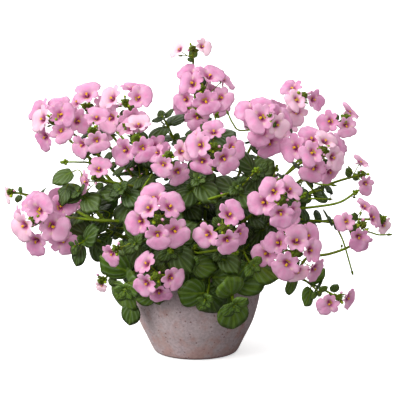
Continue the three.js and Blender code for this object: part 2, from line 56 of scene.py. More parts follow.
MM = 0.001
_, POT_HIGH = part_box("pot")
RIM_RADIUS = POT_HIGH.x / MM
POT_HEIGHT = POT_HIGH.z / MM
POT_WALL = 6.0
POT_FLOOR = 8.0
FOOT_RADIUS = 39.6
FOOT_EDGE = 2.5
INNER_LIP_WIDTH = 1.4
INNER_LIP_DROP = 2
POT_RINGS = 74
POT_SIDES = 160
THROWING_WOBBLE = 0.22
TRUE_FOOT = 3
POT_OUTSIDE = [
    (FOOT_RADIUS, 0.25),
    (41.6, 1.1),
    (43.3, 3.2),
    (45.1, 6.6),
    (50.9, 18.5),
    (57.0, 31.0),
    (60.9, 42.5),
    (63.7, 54.0),
    (65.4, 66.0),
    (RIM_RADIUS, 78.0),
    (RIM_RADIUS - 0.1, POT_HEIGHT - 2.4),
    (RIM_RADIUS - 0.9, POT_HEIGHT - 0.6),
    (RIM_RADIUS - 2.4, POT_HEIGHT - 0.05),
]


def smooth_line(points, count, closed=False):
    """A line of count points through the given ones, rounded as a Catmull-Rom spline."""
    points = np.array(points, float)
    if closed:
        points = np.vstack([points[-1:], points, points[:2]])
    else:
        before = 2 * points[0] - points[1]
        after = 2 * points[-1] - points[-2]
        points = np.vstack([before[None], points, after[None]])
    spans = len(points) - 3
    fine = []
    for i in range(spans):
        a, b, c, d = points[i : i + 4]
        for t in np.linspace(0, 1, 24, endpoint=False):
            fine.append(
                0.5 * (2 * b + (c - a) * t + (2 * a - 5 * b + 4 * c - d) * t**2
                       + (3 * b - a - 3 * c + d) * t**3)
            )
    fine = np.array(fine + [points[-2]])
    along = np.concatenate([[0], np.cumsum(np.linalg.norm(np.diff(fine, axis=0), axis=1))])
    wanted = np.linspace(0, along[-1], count, endpoint=not closed)
    return np.stack([np.interp(wanted, along, fine[:, k]) for k in range(fine.shape[1])], 1)


def turned(profile, sides):
    """The points and faces of a body turned round the z axis. The profile starts and ends on it."""
    rings = np.array(profile[1:-1], float)
    angles = np.linspace(0, 2 * math.pi, sides, endpoint=False)
    x = rings[:, :1] * np.cos(angles)
    y = rings[:, :1] * np.sin(angles)
    z = np.repeat(rings[:, 1:], sides, 1)
    points = np.stack([x, y, z], 2).reshape(-1, 3)
    poles = np.array([[0, 0, profile[0][1]], [0, 0, profile[-1][1]]])
    faces = []
    for i in range(len(rings) - 1):
        for j in range(sides):
            k = (j + 1) % sides
            faces.append((i * sides + j, i * sides + k, (i + 1) * sides + k, (i + 1) * sides + j))
    first, last = len(points), len(points) + 1
    top = (len(rings) - 1) * sides
    for j in range(sides):
        k = (j + 1) % sides
        faces.append((first, k, j))
        faces.append((last, top + j, top + k))
    return np.vstack([points, poles]), faces


def lay_mesh(name, points, faces, materials, kinds=None, **notes):
    """An object from points in millimetres. Notes are values at each point for the materials."""
    mesh = bpy.data.meshes.new(name)
    mesh.from_pydata((np.asarray(points) * MM).tolist(), [], faces)
    for note, values in notes.items():
        attribute = mesh.attributes.new(note, "FLOAT_VECTOR", "POINT")
        attribute.data.foreach_set("vector", np.asarray(values, np.float32).ravel())
    for material in materials:
        mesh.materials.append(material)
    if kinds is not None:
        mesh.polygons.foreach_set("material_index", np.asarray(kinds, np.int32))
    mesh.shade_smooth()
    mesh.update()
    piece = bpy.data.objects.new(name, mesh)
    bpy.context.scene.collection.objects.link(piece)
    return piece


def linear(red, green, blue):
    """A colour as it is seen on a screen, from 0 to 255, as the light that it stands for."""
    seen = [value / 255 for value in (red, green, blue)]
    return tuple(v / 12.92 if v <= 0.04045 else ((v + 0.055) / 1.055) ** 2.4 for v in seen) + (1,)


class Finish:
    """A material, or another tree of nodes where one is given, written as a chain of nodes."""

    def __init__(self, name, tree=None):
        if tree:
            self.tree = tree
            return
        self.material = bpy.data.materials.new(name)
        self.material.use_nodes = True
        self.tree = self.material.node_tree
        self.shader = self.tree.nodes["Principled BSDF"]

    def put(self, kind, **settings):
        node = self.tree.nodes.new("ShaderNode" + kind)
        for setting, value in settings.items():
            setattr(node, setting, value)
        return node

    def feed(self, socket, value):
        if isinstance(value, bpy.types.NodeSocket):
            self.tree.links.new(value, socket)
        elif value is not None:
            socket.default_value = value

    def math(self, operation, a, b=None):
        node = self.put("Math", operation=operation)
        for socket, value in zip(node.inputs, (a, b)):
            self.feed(socket, value)
        return node.outputs[0]

    def fade(self, value, low, high, start=0.0, end=1.0):
        """Rises smoothly from start to end while the value goes from low to high."""
        node = self.put("MapRange", interpolation_type="SMOOTHSTEP")
        for socket, given in zip(node.inputs, (value, low, high, start, end)):
            self.feed(socket, given)
        return node.outputs[0]

    def mix(self, share, a, b):
        node = self.put("Mix", data_type="RGBA")
        self.feed(node.inputs[0], share)
        self.feed(node.inputs[6], a)
        self.feed(node.inputs[7], b)
        return node.outputs[2]

    def noise(self, vector, scale, detail=4.0, roughness=0.55):
        node = self.put("TexNoise")
        self.feed(node.inputs["Vector"], vector)
        self.feed(node.inputs["Scale"], scale)
        self.feed(node.inputs["Detail"], detail)
        self.feed(node.inputs["Roughness"], roughness)
        return node.outputs["Fac"]

    def cells(self, vector, scale, output="Distance"):
        node = self.put("TexVoronoi")
        self.feed(node.inputs["Vector"], vector)
        self.feed(node.inputs["Scale"], scale)
        return node.outputs[output]

    def note(self, name):
        """The x, y and z of a value laid down at each point of the mesh."""
        read = self.put("Attribute", attribute_name=name)
        split = self.put("SeparateXYZ")
        self.feed(split.inputs[0], read.outputs["Vector"])
        return split.outputs

    def place(self):
        return self.put("TexCoord").outputs["Object"]

    def bump(self, height, strength, distance):
        node = self.put("Bump")
        self.feed(node.inputs["Strength"], strength)
        self.feed(node.inputs["Distance"], distance)
        self.feed(node.inputs["Height"], height)
        return node.outputs[0]

    def shared(self, tree, **inputs):
        """Places a shared group of nodes, fed by the names of its inputs."""
        node = self.put("Group", node_tree=tree)
        for name, value in inputs.items():
            self.feed(node.inputs[name], value)
        return node.outputs

    def surface(self, **sockets):
        for name, value in sockets.items():
            self.feed(self.shader.inputs[name.replace("_", " ")], value)
        return self.material


def start_group(name, inputs, outputs):
    """A group of nodes that finishes share, with what it is given and what it puts out."""
    group = Finish(name, bpy.data.node_groups.new(name, "ShaderNodeTree"))
    for way, sockets in (("INPUT", inputs), ("OUTPUT", outputs)):
        for socket, kind in sockets.items():
            group.tree.interface.new_socket(socket, in_out=way, socket_type="NodeSocket" + kind)
    given = group.tree.nodes.new("NodeGroupInput").outputs
    wanted = group.tree.nodes.new("NodeGroupOutput").inputs
    return group, given, wanted


def patches_group():
    """Soft-edged patches, as wear, lime and stains leave them: a mask from 0 to 1."""
    inputs = {"Place": "Vector", "Scale": "Float", "Amount": "Float", "Softness": "Float"}
    group, given, wanted = start_group("patches", inputs, {"Mask": "Float"})
    cloud = group.noise(given["Place"], given["Scale"], 6.0, 0.62)
    edge = group.math("SUBTRACT", 1.0, given["Amount"])
    low = group.math("SUBTRACT", edge, given["Softness"])
    high = group.math("ADD", edge, given["Softness"])
    group.feed(wanted["Mask"], group.fade(cloud, low, high))
    return group.tree


def mottle_group():
    """Small clouds of one colour over another. They start where the noise passes Low, are whole
    where it passes High, and then cover the ground by Share."""
    numbers = ("Scale", "Detail", "Roughness", "Low", "High", "Share")
    inputs = {"Place": "Vector", "Ground": "Color", "Spots": "Color"} | dict.fromkeys(numbers, "Float")
    group, given, wanted = start_group("mottle", inputs, {"Colour": "Color", "Cloud": "Float"})
    cloud = group.noise(given["Place"], given["Scale"], given["Detail"], given["Roughness"])
    share = group.fade(cloud, given["Low"], given["High"], 0.0, given["Share"])
    group.feed(wanted["Colour"], group.mix(share, given["Ground"], given["Spots"]))
    group.feed(wanted["Cloud"], cloud)
    return group.tree


PATCHES = patches_group()
MOTTLE = mottle_group()


def aged_clay():
    clay = Finish("aged_clay")
    place = clay.place()
    height = clay.put("SeparateXYZ")
    clay.feed(height.inputs[0], place)
    low_down = clay.fade(height.outputs["Z"], 0.0, 0.045, 0.14, 0.0)
    skin = clay.shared(
        MOTTLE, Place=place, Scale=330, Detail=6.0, Roughness=0.68, Low=0.36, High=0.64, Share=1.0,
        Ground=linear(185, 163, 167), Spots=linear(215, 195, 199),
    )
    lime = clay.shared(PATCHES, Place=place, Scale=46, Amount=0.46, Softness=0.2)["Mask"]
    colour = clay.mix(clay.math("MULTIPLY", lime, 0.4), skin["Colour"], linear(206, 193, 191))
    worn = clay.math("ADD", low_down, 0.38)
    bare = clay.shared(PATCHES, Place=place, Scale=80, Amount=worn, Softness=0.12)["Mask"]
    colour = clay.mix(clay.math("MULTIPLY", bare, 0.5), colour, linear(194, 132, 114))
    grains = clay.shared(
        MOTTLE, Place=place, Scale=1100, Detail=3.0, Roughness=0.65, Low=0.4, High=0.8, Share=0.4,
        Ground=colour, Spots=linear(200, 188, 184),
    )
    grit = grains["Cloud"]
    colour = clay.mix(clay.fade(grit, 0.45, 0.2, 0.0, 0.4), grains["Colour"], linear(110, 88, 86))
    small = clay.fade(clay.cells(place, 240), 0.12, 0.24, 1.0, 0.0)
    small = clay.math("MULTIPLY", small, clay.fade(clay.noise(place, 150, 2.0), 0.44, 0.54))
    large = clay.fade(clay.cells(place, 112), 0.07, 0.13, 1.0, 0.0)
    pits = clay.math("MAXIMUM", small, large)
    colour = clay.mix(clay.math("MULTIPLY", pits, 0.65), colour, linear(116, 62, 48))
    foot_line = clay.fade(height.outputs["Z"], 0.0006, 0.003, 0.8, 0.0)
    colour = clay.mix(foot_line, colour, linear(112, 68, 58))
    relief = clay.math("SUBTRACT", clay.math("MULTIPLY", grit, 0.35), pits)
    relief = clay.math("ADD", relief, clay.math("MULTIPLY", skin["Cloud"], 0.8))
    return clay.surface(
        Base_Color=colour,
        Roughness=clay.fade(grit, 0.3, 0.7, 0.8, 0.96),
        Normal=clay.bump(relief, 0.5, 0.0006),
        Specular_IOR_Level=0.25,
    )


def make_pot():
    inner = RIM_RADIUS - POT_WALL
    profile = [(0, 0.0), (FOOT_RADIUS - FOOT_EDGE, 0.0), *map(tuple, smooth_line(POT_OUTSIDE, POT_RINGS))]
    profile += [(inner + INNER_LIP_WIDTH, POT_HEIGHT - 0.3), (inner, POT_HEIGHT - INNER_LIP_DROP)]
    profile += [(r - POT_WALL, z) for r, z in POT_OUTSIDE[9:3:-1]]
    profile += [(FOOT_RADIUS, POT_FLOOR), (0, POT_FLOOR)]
    points, faces = turned(profile, POT_SIDES)
    for point in points:
        if point[2] > TRUE_FOOT:
            wobble = noise.noise(Vector(point) * 0.03) + 0.4 * noise.noise(Vector(point) * 0.13)
            point[:2] *= 1 + THROWING_WOBBLE * wobble / RIM_RADIUS
    outer = np.hypot(points[:, 0], points[:, 1])
    points[:, :2] *= np.minimum(1, RIM_RADIUS / np.maximum(outer, 1))[:, None]
    return lay_mesh("clay_bowl", points, faces, [aged_clay()])


bowl = make_pot()
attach(bowl, "root")
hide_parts("pot")


# The soil
# Dark potting mix of peat, bark and a little grit, filled in to a centimetre under the rim
# and pressed down round the stems. Crumbs and chips of bark lie loose on top.

_, SOIL_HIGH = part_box("soil")
SOIL_TOP = SOIL_HIGH.z / MM
SOIL_RADIUS = SOIL_HIGH.x / MM
SOIL_RINGS = 46
SOIL_SIDES = 120
SOIL_SEED = 5
HIGHEST_LUMP = 1.4
CRUMBS = 420
CRUMB_SMALLEST = 0.5
CRUMB_RANGE = 1.2
CRUMB_SIDES = 7
CRUMB_PROFILE = [(0, -1), (0.75, -0.5), (1, 0.1), (0.6, 0.7), (0, 1)]


def seeded(seed):
    """A small generator of numbers from 0 to 1, the same at every run."""
    state = (seed * 7919 + 12345) & 0xFFFFFFFF

    def draw():
        nonlocal state
        state = (state * 1664525 + 1013904223) & 0xFFFFFFFF
        return state / 4294967296

    return draw


def potting_mix():
    mix = Finish("potting_mix")
    place = mix.place()
    peat = mix.shared(
        MOTTLE, Place=place, Scale=900, Detail=6.0, Roughness=0.7, Low=0.3, High=0.7, Share=1.0,
        Ground=linear(26, 19, 14), Spots=linear(64, 48, 36),
    )
    split = mix.put("SeparateColor")
    mix.feed(split.inputs[0], mix.cells(place, 330, "Color"))
    bark = mix.fade(split.outputs[0], 0.72, 0.9, 0.0, 0.7)
    colour = mix.mix(bark, peat["Colour"], linear(96, 66, 44))
    colour = mix.mix(mix.fade(split.outputs[1], 0.93, 0.97, 0.0, 0.8), colour, linear(150, 140, 124))
    return mix.surface(
        Base_Color=colour,
        Roughness=mix.fade(peat["Cloud"], 0.2, 0.8, 0.75, 1.0),
        Normal=mix.bump(mix.noise(place, 700, 8.0, 0.75), 0.9, 0.0012),
        Specular_IOR_Level=0.2,
    )


def make_soil():
    draw = seeded(SOIL_SEED)
    surface = [(SOIL_RADIUS * share, 0.0) for share in np.linspace(1, 0.02, SOIL_RINGS)]
    side = [(0, POT_FLOOR + 0.3), (FOOT_RADIUS - 1.5, POT_FLOOR + 0.3)]
    side += [(r - POT_WALL - 0.5, z) for r, z in POT_OUTSIDE[4:8]]
    profile = side + [(r, SOIL_TOP - 1.5) for r, _ in surface] + [(0, SOIL_TOP - 1.5)]
    points, faces = turned(profile, SOIL_SIDES)
    for point in points:
        if point[2] > SOIL_TOP - 2:
            at = Vector((point[0], point[1], 0))
            lumps = noise.noise(at * 0.09) * 1.1 + noise.noise(at * 0.35) * 0.8
            point[2] += min(HIGHEST_LUMP, lumps + 0.5 * noise.noise(at * 1.1))
    points = [points]
    count = len(points[0])
    for i in range(CRUMBS):
        reach = (SOIL_RADIUS - 2) * math.sqrt(draw())
        angle = 2 * math.pi * draw()
        size = CRUMB_SMALLEST + CRUMB_RANGE * draw() ** 2
        centre = np.array([reach * math.cos(angle), reach * math.sin(angle), SOIL_TOP - 0.9])
        stretch = np.array([1 + draw(), 0.7 + 0.5 * draw(), 0.45 + 0.3 * draw()])
        crumb, sides = turned(CRUMB_PROFILE, CRUMB_SIDES)
        turn = np.array(Matrix.Rotation(draw() * 6, 3, Vector((draw() - 0.5, draw() - 0.5, 1))))
        crumb *= 1 + 0.35 * np.array([[noise.noise(Vector(p) * 1.3 + Vector((i, 0, 0)))] for p in crumb])
        points.append((crumb * stretch * size) @ turn.T + centre)
        faces += [tuple(corner + count for corner in face) for face in sides]
        count += len(crumb)
    return lay_mesh("potting_soil", np.vstack(points), faces, [potting_mix()])


earth = make_soil()
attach(earth, "root")
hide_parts("soil")


# How the plant stands
# The plant makes a loose dome over its pot, with racemes of bloom all round it and leafy tips
# between them and over the rim. These are the same places as the solids were grown from.

# The middle of each raceme, its open blooms, how far they spread, the angle of the first one,
# their size, and the stem that carries it.
FLOWER_HEADS = [
    ((-154, -50, 142), 8, 25, 75, 1.05, 1),
    ((-181, -15, 164), 1, 6, 200, 0.6, 1),
    ((-139, -15, 235), 7, 21, 40, 0.95, 2),
    ((-108, 5, 246), 4, 15, 95, 0.95, 3),
    ((-68, -20, 252), 5, 18, 20, 1.05, 3),
    ((-98, -58, 229), 3, 15, 300, 0.9, 4),
    ((-56, -60, 222), 5, 16, 300, 0.95, 4),
    ((-95, -60, 184), 2, 12, 60, 0.85, 4),
    ((-25, -75, 208), 4, 14, 250, 0.8, 5),
    ((6, -10, 264), 8, 24, 150, 0.95, 6),
    ((-3, 5, 302), 2, 13, 20, 0.65, 6),
    ((17, -85, 217), 6, 17, 170, 0.9, 5),
    ((70, -45, 241), 7, 18, 180, 1.0, 7),
    ((106, 10, 256), 4, 13, 200, 0.9, 7),
    ((121, -45, 209), 8, 20, 60, 0.95, 8),
    ((147, 5, 235), 3, 11, 270, 0.85, 8),
    ((163, -5, 180), 2, 13, 290, 0.75, 9),
    ((78, -115, 172), 5, 14, 130, 0.9, 10),
    ((25, -130, 149), 4, 15, 285, 0.88, 11),
    ((93, -95, 119), 9, 25, 85, 0.95, 12),
    ((160, -45, 137), 5, 17, 240, 0.8, 9),
    ((183, -10, 136), 1, 8, 300, 0.65, 13),
    ((135, -75, 72), 2, 14, 215, 0.9, 12),
    ((-34, -130, 157), 6, 17, 135, 0.95, 14),
    ((-74, -95, 123), 1, 8, 225, 0.85, 15),
    ((-36, -110, 100), 4, 15, 215, 0.85, 16),
    ((-90, -60, 86), 1, 7, 250, 0.5, 15),
    ((-86, 92, 222), 4, 17, 30, 0.95, 17),
    ((6, 88, 246), 4, 17, 70, 0.95, 18),
    ((80, 92, 220), 4, 17, 110, 0.95, 19),
    ((134, 66, 192), 4, 16, 10, 0.95, 20),
    ((-76, 124, 150), 4, 17, 200, 0.95, 21),
    ((6, 146, 150), 4, 17, 300, 0.95, 18),
    ((84, 122, 138), 4, 17, 160, 0.95, 19),
    ((-140, 56, 132), 4, 17, 80, 0.95, 17),
]
# Where each shoot without blooms ends, the way it points, the size of its leaves, and its stem.
LEAFY_TIPS = [
    ((36, -92, 68), (0.1, -0.8, -0.6), 1.3, 22),
    ((9, -88, 72), (-0.35, -0.75, -0.5), 1.2, 11),
    ((-68, -70, 78), (-0.2, -0.8, -0.5), 1.35, 15),
    ((-34, -78, 74), (-0.1, -0.8, -0.6), 0.85, 16),
    ((123, -20, 167), (0.8, -0.5, 0.2), 0.8, 13),
    ((118, -60, 74), (0.5, -0.7, -0.5), 0.85, 12),
    ((-23, -108, 124), (-0.1, -0.9, -0.4), 1.1, 14),
    ((24, -100, 120), (0.1, -0.95, 0.1), 1.0, 22),
    ((54, -90, 106), (0.4, -0.85, -0.1), 1.05, 10),
    ((-5, -98, 108), (-0.2, -0.95, -0.2), 0.95, 16),
    ((3, -86, 188), (0, -0.9, 0.4), 0.95, 5),
    ((39, -84, 180), (0.3, -0.9, 0.3), 1.0, 10),
    ((-72, -64, 174), (-0.5, -0.8, 0.3), 1.0, 4),
    ((-112, -50, 170), (-0.7, -0.6, 0.4), 1.0, 1),
    ((-116, -55, 118), (-0.7, -0.6, -0.3), 0.9, 1),
    ((-57, -88, 126), (-0.4, -0.9, 0), 1.0, 14),
    ((89, -60, 150), (0.6, -0.8, 0.1), 0.9, 12),
    ((72, 58, 78), (0.7, 0.6, -0.35), 1.1, 20),
    ((-62, 68, 80), (-0.6, 0.7, -0.35), 1.1, 17),
    ((10, 96, 130), (0.1, 0.9, 0.1), 1.15, 18),
    ((-52, 30, 186), (-0.4, 0.1, 0.9), 1.15, 3),
    ((-32, -8, 237), (-0.4, -0.5, 0.75), 1.0, 6),
    ((56, 30, 186), (0.4, 0.1, 0.9), 1.15, 19),
    ((-92, 70, 130), (-0.7, 0.7, 0.1), 1.15, 21),
    ((10, -18, 226), (0.2, -0.8, 0.5), 1.0, 6),
    ((60, -58, 190), (0.3, -0.9, 0.2), 1.0, 7),
    ((100, 62, 130), (0.8, 0.6, 0.1), 1.15, 20),
]
SHOOTS = 22
UP = np.array([0.0, 0.0, 1.0])
PLANT_HEART = np.array([0.0, 0.0, 110.0])
FRONT_DEPTH = 35
HEAD_OUTWARD = 0.45
HEAD_FORWARD = 0.85
HEAD_UPWARD = 0.08
HEAD_LENGTH = 19
LENGTH_PER_SPREAD = 0.75
TIP_DEPTH = 6
GOLDEN_ANGLE = math.radians(137.5)
MATCH = 0.15


def unit(vector):
    return vector / np.linalg.norm(vector)


def place_at(origin, along, face, scale):
    """A place as an origin and three axes: y along, and z on the side that it faces."""
    y = unit(along)
    x = unit(np.cross(y, face))
    return origin, np.stack([x, y, np.cross(x, y)], 1) * scale


def put_in(place, points):
    origin, axes = place
    return np.asarray(points, float) @ axes.T + origin


def around(way, angle, nearly_up=UP):
    """The direction square to a way, at an angle round it."""
    side = unit(np.cross(way, nearly_up))
    return side * math.cos(angle) + np.cross(way, side) * math.sin(angle)


def out_from(head, angle):
    """The direction out from the axis of a flower head, at an angle round it."""
    return head["across"] * math.cos(angle) + head["over"] * math.sin(angle)


def bowed(start, middle, end, count):
    """A line of count points that bends toward its middle point on the way."""
    t = np.linspace(0, 1, count)[:, None]
    return start * (1 - t) ** 2 + 2 * middle * t * (1 - t) + end * t**2


def corners_of(node):
    """The corners of a solid, in millimetres, for finding which place a piece was grown in."""
    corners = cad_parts[node].data.vertices
    tree = kdtree.KDTree(len(corners))
    for i, corner in enumerate(corners):
        tree.insert(corner.co / MM, i)
    tree.balance()
    return tree


def grown_there(tree, points, share=1.0):
    """Whether the solid has this share of the points among its corners."""
    found = [tree.find(Vector(point))[2] < MATCH for point in points]
    return sum(found) >= share * len(found)


def read_head(index):
    """A raceme with its axis worked out. It leans out from the plant's heart and faces the front,
    or the back where it stands behind."""
    middle, blooms, spread, turn, size, shoot = FLOWER_HEADS[index]
    middle = np.array(middle, float)
    side = np.array([0.0, -1.0 if middle[1] < FRONT_DEPTH else 1.0, 0.0])
    way = unit(unit(middle - PLANT_HEART) * HEAD_OUTWARD + side * HEAD_FORWARD + UP * HEAD_UPWARD)
    length = HEAD_LENGTH + spread * LENGTH_PER_SPREAD
    tip = middle + way * TIP_DEPTH
    across = unit(np.cross(UP, way))
    return {
        "index": index,
        "node": f"flower_head_{index + 1:02d}",
        "blooms": blooms,
        "spread": spread,
        "turn": math.radians(turn),
        "size": size,
        "shoot": shoot,
        "way": way,
        "length": length,
        "tip": tip,
        "base": tip - way * length,
        "across": across,
        "over": unit(np.cross(way, across)),
    }


heads = [read_head(index) for index in range(len(FLOWER_HEADS))]


# The leafy stems
# Thin, four-sided, yellow-green stems rise from the soil and branch. Each end carries a flower
# head or a leafy tip, and each hangs over the rim or leans out to the light where it has room.

STEM_RADIUS = 1.5
TWIG_RADIUS = 1.2
STEM_SOLID_RADIUS = 1.6
TWIG_SOLID_RADIUS = 1.3
STEM_STEP = 44
ROOT_DEPTH = 11
ROOT_NEAREST = 8
ROOT_FURTHEST = 36
ROOT_LEAN = 0.18
LEAST_RISE = 16
BRANCH_FROM = 0.45
BRANCH_RANGE = 0.4
BRANCH_PULL = 0.3
CLEAR = 0.3
STEM_SIDES = 8
STEM_RING_GAP = 5
ARC_DIVISIONS = 200
BAR_CORNERS = 4
BAR_MATCH = 0.03
# How far a stem rises and how long it straightens toward its end, as shares of its length.
STANDING = (0.42, 0.34)
HANGING = (0.8, 0.62)
STEM_CHANGES = [
    (turn, side, lift)
    for lift in (1, 0.75, 1.3, 0.55)
    for turn in (0, 0.25, -0.25, 0.5, -0.5, 0.75, -0.75)
    for side in (0, 14, -14, 28, -28, 45, -45)
]


class Curve:
    """A cubic Bezier curve, measured along its length."""

    def __init__(self, *points):
        self.points = np.array(points, float)
        self.times = np.linspace(0, 1, ARC_DIVISIONS + 1)
        steps = np.diff(self.at_times(self.times), axis=0)
        self.reaches = np.concatenate([[0], np.cumsum(np.linalg.norm(steps, axis=1))])
        self.length = self.reaches[-1]
        self.steps = max(3, int(math.floor(self.length / STEM_STEP + 0.5)))

    def at_times(self, t):
        t = np.atleast_1d(t)[:, None]
        a, b, c, d = self.points
        return a * (1 - t) ** 3 + 3 * b * t * (1 - t) ** 2 + 3 * c * t**2 * (1 - t) + d * t**3

    def time(self, share):
        return np.interp(np.asarray(share) * self.length, self.reaches, self.times)

    def at(self, share):
        return self.at_times(self.time(share))

    def way(self, share):
        t = float(self.time(share))
        before, after = self.at_times([max(0, t - 1e-4), min(1, t + 1e-4)])
        return unit(after - before)

    def on_bar(self, share):
        """A point on the straight-sided bar of the stem's solid."""
        whole = min(math.floor(share * self.steps), self.steps - 1)
        low, high = self.at([whole / self.steps, (whole + 1) / self.steps])
        return low + (high - low) * (share * self.steps - whole)

    def frames(self, count):
        """Directions square to the curve at count + 1 points, which turn as little as they can."""
        ways = [self.way(i / count) for i in range(count + 1)]
        least_along = 2 - np.argmin(np.abs(ways[0])[::-1])
        normals = [np.cross(ways[0], unit(np.cross(ways[0], np.eye(3)[least_along])))]
        for before, after in zip(ways, ways[1:]):
            axis = np.cross(before, after)
            normal = normals[-1]
            if np.linalg.norm(axis) > 1e-12:
                angle = math.acos(max(-1, min(1, float(before @ after))))
                normal = np.array(Matrix.Rotation(angle, 3, Vector(axis)) @ Vector(normal))
            normals.append(normal)
        return [(way, normal, np.cross(way, normal)) for way, normal in zip(ways, normals)]


def stem_curve(start, leave, end, way, side, pull):
    across = unit(np.cross(way, UP))
    return Curve(start, leave, end - way * pull + across * side, end - way * CLEAR)


def main_stem(end, way, change):
    """A stem that rises from the soil and bends to its end, which may hang below the rim."""
    turn, side, lift = change
    root = min(ROOT_FURTHEST, ROOT_NEAREST + ROOT_LEAN * math.hypot(end[0], end[1]))
    angle = math.atan2(end[1], end[0]) + turn
    foot = np.array([root * math.cos(angle), root * math.sin(angle), SOIL_TOP - ROOT_DEPTH])
    length = np.linalg.norm(end - foot) * lift
    rise, pull = HANGING if end[2] < POT_HEIGHT else STANDING
    leave = foot + UP * max(ROOT_DEPTH + LEAST_RISE, length * rise)
    return stem_curve(foot, leave, end, way, side, length * pull)


def side_branch(stem, end, way, change):
    """A branch that leaves another stem part of the way up."""
    turn, side, lift = change
    share = BRANCH_FROM + turn * BRANCH_RANGE
    start = stem.on_bar(share)
    toward = end - start
    length = np.linalg.norm(toward) * lift
    leave = start + stem.way(share) * length * 0.06 + unit(toward) * length * 0.26
    return stem_curve(start, leave, end, way, side, length * BRANCH_PULL)


def fit(tree, curve, radius):
    """The share of the corners of the bar's sections that stand where this curve puts them."""
    found = []
    for i in range(1, curve.steps):
        nearest = tree.find_n(Vector(curve.at(i / curve.steps)[0]), BAR_CORNERS)
        found += [abs(distance - radius) < BAR_MATCH for _, _, distance in nearest]
    return sum(found) / len(found)


def find_stem(tree, radius, make, *ends):
    """The stem that stands where its solid does, out of the small changes that were tried."""
    best = None
    for change in STEM_CHANGES:
        curve = make(*ends, change)
        share = fit(tree, curve, radius)
        if best is None or share > best[0]:
            best = (share, curve)
        if share == 1:
            break
    return best[1]


def grow_shoot(number):
    """One plant of stems: the first from the soil, and the others as branches of it."""
    node = f"leafy_stem_{number:02d}"
    tree = corners_of(node)
    ends = [(head["base"], head["way"], 0) for head in heads if head["shoot"] == number]
    ends += [
        (np.array(at, float), unit(np.array(way, float)), leaf)
        for at, way, leaf, shoot in LEAFY_TIPS
        if shoot == number
    ]
    stems = []
    for i, (end, way, leaf) in enumerate(ends):
        if i == 0:
            curve = find_stem(tree, STEM_SOLID_RADIUS, main_stem, end, way)
        else:
            curve = find_stem(tree, TWIG_SOLID_RADIUS, side_branch, stems[0]["curve"], end, way)
        stems.append({"curve": curve, "leaf": leaf, "first": i == 0, "seed": number * 100 + i * 10})
    return {"node": node, "tree": tree, "stems": stems, "number": number}


def stem_green():
    stem = Finish("stem_green")
    place = stem.place()
    youth, brown, shade = stem.note("part_tone")
    colour = stem.mix(shade, linear(92, 120, 8), linear(130, 156, 18))
    colour = stem.mix(youth, colour, linear(150, 172, 26))
    skin = stem.shared(
        MOTTLE, Place=place, Scale=420, Detail=3.0, Roughness=0.5, Low=0.4, High=0.75, Share=0.4,
        Ground=colour, Spots=linear(76, 100, 14),
    )
    tinge = stem.shared(
        MOTTLE, Place=place, Scale=60, Detail=2.0, Roughness=0.55, Low=0.52, High=0.7, Share=0.35,
        Ground=skin["Colour"], Spots=linear(110, 74, 50),
    )
    return stem.surface(
        Base_Color=stem.mix(brown, tinge["Colour"], linear(62, 50, 30)),
        Roughness=stem.fade(skin["Cloud"], 0.3, 0.7, 0.4, 0.6),
        Normal=stem.bump(skin["Cloud"], 0.3, 0.0003),
        Specular_IOR_Level=0.22,
        Subsurface_Weight=0.1,
        Subsurface_Radius=(0.5, 1.0, 0.2),
        Subsurface_Scale=0.001,
    )


STEM_GREEN = stem_green()
shoots = [grow_shoot(number) for number in range(1, SHOOTS + 1)]


# The leaves
# Opposite pairs of soft, short-stalked leaves, broad and bluntly pointed, with arching veins that
# sink between low ridges. The ridges carry a painted grey-green sheen, and the veins painted shade.
# Young leaves low in front are the brightest.

LEAF_LENGTH = 28
LEAF_SPACING = 115
TIP_SPACING = 17
TIP_REACH = 40
TIP_MOST = 0.6
LOWEST_ON_STEM = 0.45
LOWEST_ON_BRANCH = 0.35
HIGHEST_LEAF = 0.94
LARGEST_LEAF = 1.02
SMALLER_UPWARD = 0.35
FRONT_LEAN = 0.45
LEAF_SOLID_EDGE = [(0.41, 0.28), (0.37, 0.72), (0, 1), (-0.37, 0.72), (-0.41, 0.28)]
LEAF_CHANGES = [
    (size, sink, turn)
    for size in (1, 0.84, 0.7)
    for sink in (0.1, 0.45, -0.25)
    for turn in (0, 0.4, -0.4, 0.8, -0.8, 1.3)
]
LEAF_THICKNESS = 0.36
BLADE_START = 0.12
BLADE_HALF_WIDTH = 0.43
SIDE_VEINS = 5
VEIN_RISE = 0.62
QUILT_HEIGHT = 0.026
TOOTH_DEPTH = 0.01
STALK_TAPER = np.array([0.034, 0.026, 0.022, 0.01])
FULL_TURN = 6.28


def leaf_height(x, y, droop):
    return -droop * y * y - 0.45 * x * x + 0.1 * y


def leaf_spot(stem, bud, change):
    """Where a leaf grows from its stem, turned to the light, for one of the changes tried."""
    size, sink, turn = change
    curve, frames = stem["curve"], stem["frames"]
    at = curve.on_bar(bud["share"])
    along = curve.way(bud["share"])
    _, normal, binormal = frames[math.floor(bud["share"] * curve.steps)]
    angle = bud["pair"] * math.pi / 2 + math.pi / 4 + turn
    away = normal * math.cos(angle) + binormal * math.sin(angle)
    way = away * bud["side"] + along * 0.35 - UP * sink
    light = unit(at - PLANT_HEART) + UP * 0.5 + along * 0.3
    if at[1] < FRONT_DEPTH:
        light[1] -= FRONT_LEAN
    length = bud["length"] * size
    return {"place": place_at(at, way, light, length), "length": length, **bud}


